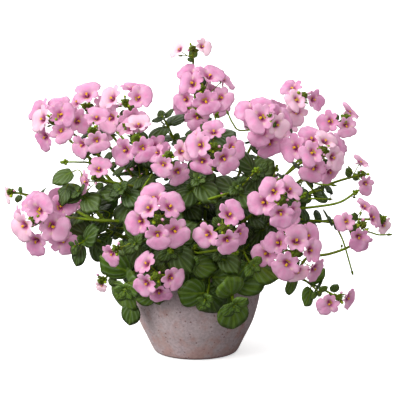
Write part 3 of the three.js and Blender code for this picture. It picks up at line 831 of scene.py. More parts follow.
def leaf_buds(stem):
    """The crossed pairs of leaves on a stem, close together near a leafy tip."""
    draw = seeded(stem["seed"])
    tip, length = stem["leaf"], stem["curve"].length
    lowest = LOWEST_ON_STEM if stem["first"] else LOWEST_ON_BRANCH
    start = 1 - min(TIP_MOST, TIP_REACH / length) if tip else lowest
    end = 1 if tip else HIGHEST_LEAF
    pairs = math.floor((end - start) * length / (TIP_SPACING if tip else LEAF_SPACING) + 0.5)
    buds = []
    for pair in range(pairs):
        for side in (-1, 1):
            share = start + (end - start) / pairs * (pair + 0.5 + (draw() - 0.5) * 0.3)
            scale = tip or LARGEST_LEAF - SMALLER_UPWARD * share
            size = LEAF_LENGTH * scale * (0.88 + 0.24 * draw())
            droop = 0.16 + 0.24 * draw()
            buds.append({"share": share, "pair": pair, "side": side, "length": size, "droop": droop})
    return buds


def grow_leaves(stem, tree):
    """The leaves that the stem's solid has, each in the first place that it agrees with."""
    leaves = []
    for bud in leaf_buds(stem):
        outline = [(x, y, leaf_height(x, y, bud["droop"])) for x, y in LEAF_SOLID_EDGE]
        for change in LEAF_CHANGES:
            spot = leaf_spot(stem, bud, change)
            if grown_there(tree, put_in(spot["place"], outline)):
                leaves.append(spot)
                break
    return leaves


def leaf_surface(rows, columns):
    """The upper side of a blade of length 1, in rows along its veins from margin to margin. Its
    notes are how far up the leaf a vein starts, how far out along it, and how far from the midrib."""
    r = np.linspace(0, 1, rows + 1)[1:-1, None]
    s = np.linspace(-1, 1, 2 * columns + 1)[None, :]
    reach = np.abs(s)
    turn = math.pi * r**VEIN_RISE
    near_tip = np.clip(-np.cos(turn) - 0.3, 0, 0.7) / 0.7
    power = 0.95 - 0.2 * np.cos(turn) + 0.6 * near_tip**2 * (3 - 2 * near_tip)
    edge_x = BLADE_HALF_WIDTH * np.sin(turn) ** power * (1 + 0.1 * np.cos(turn))
    edge_y = 0.56 - 0.44 * np.cos(turn) - 0.035 * np.exp(-(((turn / math.pi - 0.13) / 0.09) ** 2))
    edge_x = edge_x * (1 + TOOTH_DEPTH * np.where(np.arange(1, rows)[:, None] % 2 == 0, 1, -1))
    rib_y = BLADE_START + (1 - BLADE_START) * r**3.8
    bend_y = rib_y + 0.25 * (edge_y - rib_y)
    x = 2 * reach * (1 - reach) * 0.72 * edge_x + reach**2 * edge_x
    y = (1 - reach) ** 2 * rib_y + 2 * reach * (1 - reach) * bend_y + reach**2 * edge_y
    ridge = 0.5 - 0.5 * np.cos(2 * math.pi * SIDE_VEINS * r)
    quilt = ridge * (reach * (1.02 - reach)) ** 0.55 * 1.5
    groove = np.exp(-((x / 0.035) ** 2))
    relief = QUILT_HEIGHT * (quilt - 1.1 * groove) * np.sin(turn) ** 0.4
    phase = np.broadcast_to(SIDE_VEINS * r, x.shape)
    return np.stack([np.sign(s) * x, y, relief], 2), np.stack([phase, np.broadcast_to(s, x.shape), x], 2)


def leaf_faces(rows, width, count, base):
    """Faces over the upper points and the lower ones, which share the margins, and to both ends."""

    def top(i, j):
        return i * width + j

    def bottom(i, j):
        return i * width + j if j in (0, width - 1) else count + i * (width - 2) + j - 1

    faces = []
    for i in range(rows - 2):
        for j in range(width - 1):
            faces.append((top(i, j), top(i, j + 1), top(i + 1, j + 1), top(i + 1, j)))
            faces.append((bottom(i, j), bottom(i + 1, j), bottom(i + 1, j + 1), bottom(i, j + 1)))
    last, tip = rows - 2, base + 1
    for j in range(width - 1):
        faces.append((base, top(0, j + 1), top(0, j)))
        faces.append((base, bottom(0, j), bottom(0, j + 1)))
        faces.append((tip, top(last, j), top(last, j + 1)))
        faces.append((tip, bottom(last, j + 1), bottom(last, j)))
    return faces


def leaf_pattern(rows, columns):
    """A closed blade of length 1: its points, the side that each lies on, its notes and faces."""
    upper, notes = leaf_surface(rows, columns)
    width = 2 * columns + 1
    inner = slice(1, width - 1)
    ends = [[0, BLADE_START, 0], [0, 1, 0]]
    end_notes = [[0, 0, 0], [SIDE_VEINS, 0, 0]]
    points = np.vstack([upper.reshape(-1, 3), upper[:, inner].reshape(-1, 3), ends])
    notes = np.vstack([notes.reshape(-1, 3), notes[:, inner].reshape(-1, 3), end_notes])
    count = (rows - 1) * width
    base = count + (rows - 1) * (width - 2)
    lift = np.zeros(len(points))
    lift[:count] = np.tile((np.arange(width) > 0) & (np.arange(width) < width - 1), rows - 1)
    lift[count:base] = -1
    return points, lift, notes, leaf_faces(rows, width, count, base)


LARGE_LEAF = leaf_pattern(24, 5)
SMALL_LEAF = leaf_pattern(10, 3)


class Heap:
    """The parts of one mesh as they are laid down: points, faces, kinds of surface and notes."""

    def __init__(self):
        self.points, self.faces, self.kinds, self.places, self.tones = [], [], [], [], []
        self.count = 0

    def add(self, points, faces, places, tones, kind):
        self.points.append(points)
        self.faces += [tuple(corner + self.count for corner in face) for face in faces]
        self.kinds += [kind] * len(faces)
        self.places.append(np.broadcast_to(places, points.shape))
        self.tones.append(np.broadcast_to(tones, points.shape))
        self.count += len(points)

    def lay(self, name, materials):
        places = np.vstack(self.places)
        tones = np.vstack(self.tones)
        points = np.vstack(self.points)
        return lay_mesh(name, points, self.faces, materials, self.kinds, part_place=places, part_tone=tones)


def add_tube(heap, centres, radii, sides, tone, kind=1, corners=0.0):
    """A closed tube through the centres, with rounded corners where it is given any."""
    centres = np.asarray(centres, float)
    ways = np.gradient(centres, axis=0)
    side = unit(np.cross(ways[0], UP if abs(unit(ways[0])[2]) < 0.9 else np.array([1.0, 0, 0])))
    rings = []
    angles = np.linspace(0, 2 * math.pi, sides, endpoint=False)
    swell = 1 + corners * np.cos(4 * angles)
    for centre, way, radius in zip(centres, ways, radii):
        way = unit(way)
        side = unit(side - way * (side @ way))
        over = np.cross(way, side)
        rings.append(centre + radius * swell[:, None] * (np.cos(angles)[:, None] * side
                                                         + np.sin(angles)[:, None] * over))
    count = len(rings)
    points = np.vstack(rings + [centres[:1], centres[-1:]])
    faces = []
    for j in range(sides):
        k = (j + 1) % sides
        faces.append((count * sides, k, j))
        top = (count - 1) * sides
        faces.append((count * sides + 1, top + j, top + k))
        for i in range(count - 1):
            faces.append((i * sides + j, i * sides + k, (i + 1) * sides + k, (i + 1) * sides + j))
    along = np.concatenate([[0], np.cumsum(np.linalg.norm(np.diff(centres, axis=0), axis=1))])
    places = np.stack(
        [
            np.concatenate([np.repeat(along, sides), along[:1], along[-1:]]),
            np.concatenate([np.tile(np.cos(angles), count), [0, 0]]),
            np.concatenate([np.tile(np.sin(angles), count), [0, 0]]),
        ],
        1,
    )
    heap.add(points, faces, places, tone, kind)


def add_leaf(heap, leaf, youth, draw, small=False):
    points, lift, notes, faces = SMALL_LEAF if small else LARGE_LEAF
    points = points.copy()
    x, y = points[:, 0], points[:, 1]
    fold, twist, wave = 0.1 + 0.25 * draw(), 0.3 * (draw() - 0.5), FULL_TURN * draw()
    margin = (np.abs(x) / BLADE_HALF_WIDTH) ** 2
    points[:, 2] += leaf_height(x, y, leaf["droop"]) + 0.012 * margin * np.sin(9 * y + wave)
    points[:, 2] += twist * x * y * 0.4 + fold * np.abs(x) * 0.35 - 0.05 * fold
    points[:, 2] += lift * LEAF_THICKNESS / 2 / leaf["length"]
    shade = draw()
    tones = np.stack([np.full(len(points), youth), lift < 0, np.full(len(points), shade)], 1)
    heap.add(put_in(leaf["place"], points), faces, notes, tones, 0)
    reach = np.linspace(-0.01, BLADE_START + 0.08, 4)
    stalk = np.stack([reach * 0, reach, leaf_height(0, reach, leaf["droop"]) - 0.02], 1)
    add_tube(heap, put_in(leaf["place"], stalk), STALK_TAPER * leaf["length"], 6, (youth, 0.5, shade))


def leaf_at(start, way, face, length, droop):
    """A leaf that grows from a place, points one way and turns its upper side to another."""
    return {"place": place_at(start, way, face, length), "length": length, "droop": droop}


def leaf_green():
    leaf = Finish("leaf_green")
    place = leaf.place()
    phase, side, reach = leaf.note("part_place")
    youth, under, shade = leaf.note("part_tone")
    old = leaf.mix(shade, linear(24, 40, 6), linear(46, 62, 14))
    young = leaf.mix(shade, linear(78, 110, 18), linear(106, 136, 36))
    blade = leaf.shared(
        MOTTLE, Place=place, Scale=260, Detail=5.0, Roughness=0.6, Low=0.35, High=0.7, Share=0.3,
        Ground=leaf.mix(youth, old, young), Spots=linear(58, 78, 34),
    )
    colour, cloud = blade["Colour"], blade["Cloud"]
    near_vein = leaf.math("ABSOLUTE", leaf.math("SUBTRACT", leaf.math("FRACT", phase), 0.5))
    far_out = leaf.math("ABSOLUTE", side)
    ridge = leaf.math("MULTIPLY", leaf.fade(near_vein, 0.02, 0.26, 1.0, 0.0), leaf.fade(far_out, 0.05, 0.3))
    # Painted sheen: the ridges between the veins are lightened toward grey-green, more on young leaves, for
    # the light they catch.
    painted_ridge_sheen = leaf.math("MULTIPLY", ridge, leaf.fade(youth, 0.1, 0.8, 0.3, 0.5))
    colour = leaf.mix(painted_ridge_sheen, colour, linear(118, 142, 100))
    # Painted shade: the sunken veins are darkened toward deep green, for the shade that falls in their
    # grooves.
    vein = leaf.math("MULTIPLY", leaf.fade(near_vein, 0.4, 0.5), leaf.fade(far_out, 0.98, 0.7, 0.0, 0.45))
    colour = leaf.mix(vein, colour, leaf.mix(youth, linear(14, 30, 4), linear(30, 60, 4)))
    midrib = leaf.math("MULTIPLY", leaf.fade(reach, 0.045, 0.015), leaf.fade(phase, 1.5, 4.8, 0.85, 0.2))
    colour = leaf.mix(midrib, colour, leaf.mix(youth, linear(60, 84, 28), linear(158, 192, 56)))
    colour = leaf.mix(leaf.math("MULTIPLY", under, 0.6), colour, linear(84, 106, 52))
    fine = leaf.math("ADD", leaf.noise(place, 1900, 4.0, 0.6), leaf.math("MULTIPLY", cloud, 0.5))
    fine = leaf.math("ADD", fine, leaf.math("MULTIPLY", ridge, 0.9))
    return leaf.surface(
        Base_Color=colour,
        Roughness=leaf.fade(cloud, 0.3, 0.75, 0.36, 0.52),
        Normal=leaf.bump(fine, 0.35, 0.0004),
        Specular_IOR_Level=0.3,
        Subsurface_Weight=0.06,
        Subsurface_Radius=(0.6, 1.0, 0.25),
        Subsurface_Scale=0.0015,
    )


LEAF_GREEN = leaf_green()
LOW_IN_FRONT = 112
YOUTH_LOW_IN_FRONT = 1.0
YOUTH_AT_TIPS = 0.2
YOUTH_ON_STEMS = 0.1


def youth_of(leaf, stem, draw):
    """How bright a leaf is: most at the tips low in front, least on the stems deep inside."""
    x, y, z = leaf["place"][0]
    out = min(1, max(0, (math.hypot(x, y) - 40) / 90))
    at_tip = YOUTH_LOW_IN_FRONT if z < LOW_IN_FRONT and y < 0 else YOUTH_AT_TIPS
    return min(1, (at_tip if stem["leaf"] else YOUTH_ON_STEMS) * (0.5 + 0.5 * out) + 0.2 * draw())


# The small growth
# New leaves in the axils, lesser pairs down the stems, thin twigs that end in a knob of green
# buds, bare stems that run clear of the leaves, old seed pods, and lone leaves on long stalks.

LESSER_SPACING = 23
LESSER_CLEAR = 8
TWIG_BUDS = 10
# Where each lone leaf starts, which way it hangs, and its length.
LONE_LEAVES = [
    ((-62, -50, 62), (-5, -2, -25), 25),
    ((-117, -45, 190), (-22, -7, -9), 25),
    ((-125, -42, 174), (-7, -6, -18), 20),
    ((-98, -40, 214), (-18, -6, -7), 20),
    ((-6, -14, 143), (9, -8, -16), 20),
    ((-86, -30, 142), (-16, -10, -13), 23),
    ((-83, -34, 126), (-16, -8, -14), 23),
    ((-11, -52, 167), (-7, -10, -16), 20),
    ((-10, -50, 158), (14, -10, -13), 21),
    ((4, -54, 141), (-12, -10, -10), 19),
    ((12, -46, 156), (-8, -4, 15), 18),
    ((49, -34, 138), (15, -8, -9), 19),
    ((65, -38, 134), (-10, -10, -18), 23),
    ((84, -30, 163), (13, -6, -11), 18),
    ((-54, -48, 185), (-11, -8, -12), 19),
]
TWIG_REACH = 128
TWIG_LOW = 104
TWIG_RINGS = 9
TWIG_LEAVES = [(4, 8.5), (6, 6.0)]
POD_RADII = [0.6, 1.25, 1.45, 1.2, 0.75, 0.2]
POD_STALK_RADII = [0.5, 0.42, 0.4, 0.45]
TIP_BUD_RADII = [0.9, 1.2, 0.9, 0.3]
TIP_LEVELS = [(12.5, 1.0), (8, 0.75), (5, 0.5)]
BARE_RINGS = 22
SHOOT_SEED = 900
# The radius of each bare stem, its closed buds, its seed pods, and its course from the tip inward.
BARE_STEMS = [
    (1.5, 0, 0, [(-120, -30, 215), (-96, -42, 195), (-81, -46, 179), (-67, -30, 162)]),
    (0.8, 9, 0, [(-128, -44, 198), (-114, -44, 198), (-101, -38, 195)]),
    (1.2, 0, 0, [(-87, -62, 183), (-72, -60, 179), (-54, -48, 173)]),
    (1.4, 0, 0, [(-135, 2, 152), (-117, -36, 149), (-102, -52, 145), (-89, -44, 140)]),
    (1.3, 0, 0, [(-140, 2, 137), (-117, -38, 142), (-92, -56, 143), (-66, -48, 138)]),
    (1.1, 0, 0, [(-156, -30, 145), (-145, -34, 140), (-135, -34, 133)]),
    (1.1, 0, 0, [(-105, -40, 123), (-92, -44, 120)]),
    (1.1, 12, 1, [(157, -30, 167), (141, -32, 157), (119, -28, 152), (98, -14, 148)]),
    (0.9, 0, 0, [(129, -26, 159), (112, -24, 159), (96, -12, 154)]),
    (1.2, 9, 3, [(167, -34, 129), (153, -40, 116), (131, -44, 108), (108, -46, 104)]),
    (0.75, 0, 0, [(186, -40, 126), (178, -40, 126), (166, -34, 128), (158, -38, 121)]),
    (0.75, 0, 0, [(152, -46, 92), (144, -44, 119), (138, -38, 134)]),
    (0.75, 0, 0, [(131, -40, 175), (119, -40, 176), (107, -36, 179)]),
    (0.75, 0, 0, [(32, -30, 242), (36, -30, 234), (43, -28, 227)]),
    (1.1, 0, 0, [(29, -88, 174), (18, -91, 171), (8, -85, 167), (1, -60, 160)]),
    (1.0, 0, 0, [(25, -106, 124), (13, -109, 123), (2, -102, 120), (-4, -70, 115)]),
    (1.0, 0, 0, [(-44, -70, 186), (-50, -72, 177), (-55, -60, 164)]),
]


def add_axil_leaves(heap, stem, leaf, draw):
    """The tiny pair of new leaves in the angle between a leaf and its stem."""
    along = stem["curve"].way(leaf["share"])
    out = unit(leaf["place"][1][:, 1])
    for turn in (-1, 1):
        across = unit(np.cross(along, out)) * turn
        start = leaf["place"][0] + out * 1.2
        way = along * 0.75 + across * 0.6 + out * 0.5
        spot = leaf_at(start, way, out * 0.6 + UP * 0.6 - across, 5 + 5 * draw(), 0.3)
        add_leaf(heap, spot, 0.35 + 0.3 * draw(), draw, small=True)


def add_lesser_leaves(heap, stem, leaves, draw):
    """The smaller pairs all along a stem, down into the shade between the large leaves."""
    curve = stem["curve"]
    low, high = 0.1, 0.82 if stem["leaf"] else 0.96
    pairs = int(curve.length * (high - low) / LESSER_SPACING)
    for pair in range(pairs):
        share = low + (high - low) * (pair + 0.3 + 0.4 * draw()) / pairs
        if any(abs(leaf["share"] - share) * curve.length < LESSER_CLEAR for leaf in leaves):
            continue
        length = (26 - 10 * share) * (0.7 + 0.5 * draw())
        for half in (-1, 1):
            bud = {"share": share, "pair": pair, "side": half, "length": length * (0.85 + 0.3 * draw())}
            bud["droop"] = 0.2 + 0.3 * draw()
            spot = leaf_spot(stem, bud, (1, 0.1 + 0.8 * draw(), 0.8 * (draw() - 0.5)))
            add_leaf(heap, spot, 0.25 * draw(), draw, small=True)


def add_side_twig(heap, stem, share, draw):
    """A thin bright twig that will flower later: a few narrow leaves and a knob of green buds."""
    curve = stem["curve"]
    start, along = curve.on_bar(share), curve.way(share)
    out = around(along, FULL_TURN * draw(), UP + np.array([0.2, 0, 0]))
    out = unit(out + unit(start - PLANT_HEART) * 0.9 + UP * 0.2)
    length = 17 + 15 * draw()
    t = np.linspace(0, 1, TWIG_RINGS)[:, None]
    line = start + along * length * 0.55 * t + out * length * (0.35 * t + 0.4 * t**2)
    line = line + UP * length * 0.25 * t**2
    if math.hypot(line[-1, 0], line[-1, 1]) > TWIG_REACH or line[-1, 2] < TWIG_LOW:
        return
    add_tube(heap, line, np.linspace(0.9, 0.62, TWIG_RINGS), 6, (0.75, 0, 0.8), corners=0.08)
    for ring, size in TWIG_LEAVES:
        onward = unit(line[ring + 1] - line[ring])
        across = unit(np.cross(onward, UP))
        for half in (-1, 1):
            way = across * half + onward * 0.8 + UP * 0.2
            spot = leaf_at(line[ring], way, UP - onward * 0.5, size * (0.8 + 0.5 * draw()), 0.3)
            add_leaf(heap, spot, 0.4 + 0.3 * draw(), draw, small=True)
    add_knob(heap, line[-1], unit(line[-1] - line[-2]), TWIG_BUDS, draw)


def add_knob(heap, tip, way, buds, draw):
    """The knob of green buds at the tip of a raceme that has not flowered yet."""
    for i in range(buds):
        rise = i / (buds - 1)
        out = around(way, i * GOLDEN_ANGLE)
        reach = 2.3 * (1 - rise) + 0.2
        middle = tip + way * (-3.2 + 5.6 * rise) + out * reach
        points = [middle - out * 1.1 - way * 0.7, middle, middle + out * 0.8 + way * 1.2]
        swell = (1.8 - 0.9 * rise) * (0.8 + 0.4 * draw())
        add_tube(heap, points, np.array([0.45, 1.0, 0.35]) * swell, 6, (0.3 * draw(), 0, 0.6 * draw()))


def add_pod(heap, start, way, draw):
    """A seed pod, the narrow pointed capsule that is left when a bloom has dropped."""
    t = np.linspace(0, 1, len(POD_RADII))[:, None]
    add_tube(heap, start + way * (5.5 + draw()) * t, POD_RADII, 6, (0, 0.2 + 0.3 * draw(), 0.1))


def nearest_point(stems, place):
    """The point on some of the stems that is nearest to a place, and how far off it is."""
    shares = np.linspace(0.1, 0.98, 60)
    points = np.vstack([stem["curve"].at(shares) for stem in stems])
    distances = np.linalg.norm(points - np.array(place, float), axis=1)
    return points[np.argmin(distances)], distances.min()


def add_bare_stem(heap, stems, radius, buds, pods, knots, draw):
    """A bright stem that runs clear of the leaves, to a knob of buds or a last seed pod."""
    root, _ = nearest_point(stems, knots[-1])
    line = smooth_line([*knots, root], BARE_RINGS)
    add_tube(heap, line, np.linspace(radius, radius * 1.3, BARE_RINGS), 7, (0.15, 0, 0.4), corners=0.1)
    out = unit(line[0] - line[1])
    if buds:
        add_knob(heap, line[0], out, buds, draw)
    else:
        add_pod(heap, line[0], out, draw)
    across = unit(np.cross(out, UP))
    for i in range(pods):
        start = line[2 + 3 * i]
        way = unit(across * (i % 2 - 0.5) + out * 0.5 + UP * (draw() - 0.5))
        t = np.linspace(0, 6 + 3 * draw(), len(POD_STALK_RADII))[:, None]
        add_tube(heap, start + way * t, POD_STALK_RADII, 5, (0.5, 0, 0.7))
        add_pod(heap, start + way * t[-1], way, draw)


def add_lone_leaf(heap, stems, start, way, length, draw):
    """A leaf that hangs clear of the crowd on a long stalk from the nearest stem."""
    start, way = np.array(start, float), np.array(way, float)
    root, reach = nearest_point(stems, start)
    line = bowed(root, start - unit(way) * reach * 0.5, start, 8)
    add_tube(heap, line, np.linspace(0.75, 0.6, 8), 6, (0.5, 0, 0.6), corners=0.05)
    face = unit(start - PLANT_HEART) + UP * 0.3 - np.array([0, 0.7, 0])
    add_leaf(heap, leaf_at(start, way, face, length, 0.25), 0.25 + 0.2 * draw(), draw)


def add_leafy_tip(heap, stem, draw):
    """The small crossed pairs of leaves and the bud that end a shoot without blooms."""
    tip, way = stem["curve"].at(1)[0], stem["curve"].way(1)
    for level, (length, open_out) in enumerate(TIP_LEVELS):
        for half in (0, 1):
            out = around(way, 0.8 + level * math.pi / 2 + half * math.pi + 0.3 * (draw() - 0.5))
            size = length * stem["leaf"] * (0.85 + 0.3 * draw())
            start = tip + way * level * 1.1
            droop = 0.25 + 0.15 * draw()
            spot = leaf_at(start, out * open_out + way * 0.55, way + UP * 0.2, size, droop)
            youth = youth_of(spot, stem, draw) + 0.1 * level
            add_leaf(heap, spot, min(1, youth), draw, small=True)
    rise = np.linspace(0, 3.8, len(TIP_BUD_RADII))[:, None]
    add_tube(heap, tip + way * rise, TIP_BUD_RADII, 6, (0.9, 0, 0.9))


def nearest_shoot(place):
    return min(shoots, key=lambda shoot: nearest_point(shoot["stems"], place)[1])


def make_shoot(shoot):
    """One piece of all the stems and leaves that a solid holds, with what grows out of them."""
    heap = Heap()
    draw = seeded(SHOOT_SEED + shoot["number"])
    for stem in shoot["stems"]:
        curve = stem["curve"]
        stem["frames"] = curve.frames(curve.steps)
        leaves = grow_leaves(stem, shoot["tree"])
        radius = STEM_RADIUS if stem["first"] else TWIG_RADIUS
        rings = max(6, round(curve.length / STEM_RING_GAP))
        shares = np.linspace(0, 1, rings)
        radii = radius * (1 - 0.25 * shares)
        for leaf in leaves:
            radii *= 1 + 0.22 * np.exp(-(((shares - leaf["share"]) * curve.length / 2.4) ** 2))
        tone = (0.15, 0, 0.3 + 0.5 * draw())
        add_tube(heap, curve.at(shares), radii, STEM_SIDES, tone, corners=0.1)
        for leaf in leaves:
            add_leaf(heap, leaf, youth_of(leaf, stem, draw), draw)
            if leaf["side"] > 0:
                add_axil_leaves(heap, stem, leaf, draw)
        add_lesser_leaves(heap, stem, leaves, draw)
        for share in (0.5 + 0.15 * draw(), 0.72 + 0.15 * draw()):
            if draw() < 0.5:
                add_side_twig(heap, stem, share, draw)
        if stem["leaf"]:
            add_leafy_tip(heap, stem, draw)
    for start, way, length in LONE_LEAVES:
        if nearest_shoot(start) is shoot:
            add_lone_leaf(heap, shoot["stems"], start, way, length, draw)
    for radius, buds, pods, knots in BARE_STEMS:
        if nearest_shoot(knots[-1]) is shoot:
            add_bare_stem(heap, shoot["stems"], radius, buds, pods, knots, draw)
    piece = heap.lay(shoot["node"] + "_grown", [LEAF_GREEN, STEM_GREEN])
    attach(piece, "root")
    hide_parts(shoot["node"])


for shoot in shoots:
    make_shoot(shoot)


# The blooms
# Each is one soft, cupped sheet: two small lobes above, one at each side, and a wide rounded lip.
# A dark pocket lies over the lip, with two small yellow windows above it. Four yellow anthers lean
# out of it, and two curved spurs stand out behind.

BLOOM_SOLID_EDGE = [
    (0, 5.4, 0.2), (-4.4, 9.6, 1.6), (-11.8, 4.0, 1.4), (-12.4, -2.6, 1.0), (-7.4, -4.6, 0),
    (-10.4, -9.8, 0.8), (-6, -15.8, 1.4), (6, -15.8, 1.4), (10.4, -9.8, 0.8), (7.4, -4.6, 0),
    (12.4, -2.6, 1.0), (11.8, 4.0, 1.4), (4.4, 9.6, 1.6),
]
BLOOM_MATCH = 0.8
BLOOM_CHANGES = [
    (size, reach, drop, tilt)
    for size in (1, 0.85, 0.7)
    for reach in (1, 1.15, 0.88)
    for drop in (0, -4, 5, 10)
    for tilt in (0, 14, -14)
]


def turned_about(vector, axis, angle):
    return np.array(Matrix.Rotation(angle, 3, Vector(axis)) @ Vector(vector))


def bloom_spot(head, number, change):
    """Where a bloom stands, in a spiral round the axis, the later the further out and down."""
    size, further, lower, tilted = change
    draw = seeded(head["index"] * 31 + number)
    share = number / (head["blooms"] - 1) if head["blooms"] > 1 else 0.5
    inner = 0.42 if head["blooms"] > 6 else 0.72
    angle = head["turn"] + number * GOLDEN_ANGLE + (draw() - 0.5) * 0.35
    radial = out_from(head, angle)
    reach = head["spread"] * (inner + (1.08 - inner) * share) * further
    at = head["tip"] + radial * reach - head["way"] * (1 + 11 * share + lower)
    tilt = math.radians(14 + 24 * share + (draw() - 0.5) * 20 + tilted)
    face = head["way"] * math.cos(tilt) + radial * math.sin(tilt)
    top = head["way"] * math.sin(tilt) - radial * math.cos(tilt) + UP * 0.35
    top = turned_about(top, face, (draw() - 0.5) * 0.5)
    top = top - face * (top @ face)
    scale = head["size"] * (0.88 + 0.2 * draw()) * size
    low = min(11 + 8 * share + 1.2 * number, head["length"] - 3)
    return {
        "place": place_at(at, top, face, scale),
        "size": scale,
        "start": head["tip"] - head["way"] * low,
        "share": share,
    }


def grow_blooms(head):
    """The blooms that the head's solid has, each in the first place that it agrees with."""
    tree = corners_of(head["node"])
    blooms = []
    for number in range(head["blooms"]):
        for change in BLOOM_CHANGES:
            spot = bloom_spot(head, number, change)
            if grown_there(tree, put_in(spot["place"], BLOOM_SOLID_EDGE), BLOOM_MATCH):
                blooms.append(spot)
                break
    return blooms


BLOOM_EDGE = [
    (0, -15.9), (4.2, -15.9), (8.5, -14.0), (11.4, -10.8), (12.0, -7.2), (10.9, -4.6), (8.7, -3.6),
    (10.2, -3.7), (12.2, -2.1), (12.9, 0.6), (11.9, 3.3), (9.6, 4.7), (7.1, 4.5),
    (7.7, 6.2), (6.9, 8.4), (4.7, 9.5), (2.2, 8.7), (0, 6.4),
]
THROAT = np.array([0, -0.8, -2.8])
STALK_END = np.array([0, -0.8, -4.2])
BLOOM_SPOKES = 60
BLOOM_RINGS = [0.13, 0.26, 0.4, 0.56, 0.73, 0.88, 1.0]
PETAL_THICKNESS = 0.32
PETAL_SPREAD = 1.04
SPUR = [(2.0, -1.8, -2.6), (2.9, -2.6, -4.4), (3.7, -4.0, -6.4), (3.9, -5.8, -8.0), (3.4, -7.4, -8.8)]
ANTHERS = [(0.5, -1.1, 0.9), (-0.5, -1.1, 0.9), (0.55, -2.4, 1.1), (-0.55, -2.4, 1.1)]
SPUR_RADII = np.array([1.0, 1.05, 0.9, 0.75, 0.62, 0.5, 0.22])
LIT_THROUGH = 0.3
SEPALS = 5
SEPAL_POINTS = [
    (-0.16, 0, 0), (0.16, 0, 0), (0.24, 0.4, 0.04), (-0.24, 0.4, 0.04), (0, 1, -0.05),
    (0, 0.05, -0.12), (0, 0.42, -0.1),
]
SEPAL_FACES = [(0, 1, 2, 3), (3, 2, 4), (1, 0, 5), (2, 1, 5, 6), (0, 3, 6, 5), (4, 2, 6), (3, 4, 6)]
STALK_SAG = 0.12
STALK_RINGS = 6


def bloom_outline():
    mirrored = [(-x, y) for x, y in BLOOM_EDGE[1:-1]][::-1]
    return smooth_line(BLOOM_EDGE + mirrored, BLOOM_SPOKES, closed=True)


BLOOM_OUTLINE = bloom_outline()


def smooth(value, low, high):
    t = np.clip((value - low) / (high - low), 0, 1)
    return t * t * (3 - 2 * t)


def petal_edge(mood):
    """The outline of one bloom, a little uneven, with its own width of lip."""
    away = BLOOM_OUTLINE - THROAT[:2]
    angle = np.arctan2(away[:, 0], -away[:, 1])
    uneven = 1 + 0.045 * np.sin(2 * angle + mood["wave"]) + 0.03 * np.sin(5 * angle + 2 * mood["wave"])
    uneven += 0.018 * np.sin(13 * angle + 3 * mood["wave"])
    lip = smooth(-away[:, 1], 2, 8)
    away = away * uneven[:, None]
    away[:, 0] *= 1 + (mood["wide"] * lip)
    away[:, 1] *= 1 - 0.7 * mood["wide"] * lip
    return away * PETAL_SPREAD


def petal_height(xy, t, mood):
    """How far the sheet of lobes stands forward at each point, with one bloom's own bends."""
    x, y = xy[..., 0], xy[..., 1]
    angle = np.arctan2(x, -(y + 0.8))
    lip = smooth(-y, 1.5, 6)
    top = smooth(y, 2.5, 6.5)
    side = smooth(np.abs(x), 4, 9) * (1 - lip) * (1 - top)
    rise = -3.1 * np.exp(-((x / 4.3) ** 2) - ((y - 0.3) / 2.6) ** 2)
    rise += (0.6 + mood["cup"]) * t**1.6
    arch = np.sin(math.pi * np.clip(-(y + 1.2) / 15, 0, 1) ** 0.75)
    rise += lip * (2.1 * arch * (1 - (x / 15) ** 2) - 2.2 * mood["curl"] * t**4)
    crease = (x - mood["lean"] * 3) / 1.9
    rise -= lip * mood["fold"] * np.exp(-(crease**2)) * smooth(-y, 4, 11)
    rise += side * (1.9 + 1.2 * mood["cup"] - 1.2 * mood["curl"] * t**4)
    rise += top * (1.7 + mood["lean"]) * smooth(t, 0.3, 1.0)
    join = (np.abs(angle) - 1.22) / 0.16
    rise -= 0.9 * np.exp(-(join**2)) * smooth(t, 0.3, 0.6)
    rise += 0.6 * t**3 * np.sin(5 * angle + mood["wave"])
    return rise + 0.25 * t**4 * np.sin(12 * angle - mood["wave"])


def add_petals(heap, bloom, mood, tone):
    place, size = bloom["place"], bloom["size"]
    rings = np.array(BLOOM_RINGS)[:, None, None]
    xy = THROAT[:2] + petal_edge(mood)[None] * rings
    t = np.broadcast_to(rings[..., 0], xy.shape[:2])
    front = np.concatenate([xy, petal_height(xy, t, mood)[..., None]], 2)
    count, spokes = len(BLOOM_RINGS), BLOOM_SPOKES
    thickness = np.array([0, 0, PETAL_THICKNESS / size])
    middle_front = np.array([[*THROAT[:2], petal_height(THROAT[:2], 0, mood)]])
    points = [front.reshape(-1, 3), (front[:-1] - thickness).reshape(-1, 3), middle_front]
    points = np.vstack([*points, middle_front - thickness])
    first_back, middle = count * spokes, (2 * count - 1) * spokes

    def face_of(i, j):
        return i * spokes + j % spokes

    def back_of(i, j):
        return face_of(i, j) if i == count - 1 else first_back + i * spokes + j % spokes

    faces = []
    for j in range(spokes):
        faces.append((middle, face_of(0, j), face_of(0, j + 1)))
        faces.append((middle + 1, back_of(0, j + 1), back_of(0, j)))
        for i in range(count - 1):
            faces.append((face_of(i, j), face_of(i + 1, j), face_of(i + 1, j + 1), face_of(i, j + 1)))
            faces.append((back_of(i, j), back_of(i, j + 1), back_of(i + 1, j + 1), back_of(i + 1, j)))
    shares = np.concatenate([t.ravel(), t[:-1].ravel(), [0, 0]])
    backs = np.concatenate([np.zeros(count * spokes), np.ones((count - 1) * spokes), [0, 1]])
    places = np.stack([points[:, 0], points[:, 1], shares], 1)
    tones = np.stack([np.full(len(points), tone[0]), backs, np.full(len(points), tone[1])], 1)
    heap.add(put_in(place, points), faces, places, tones, 0)


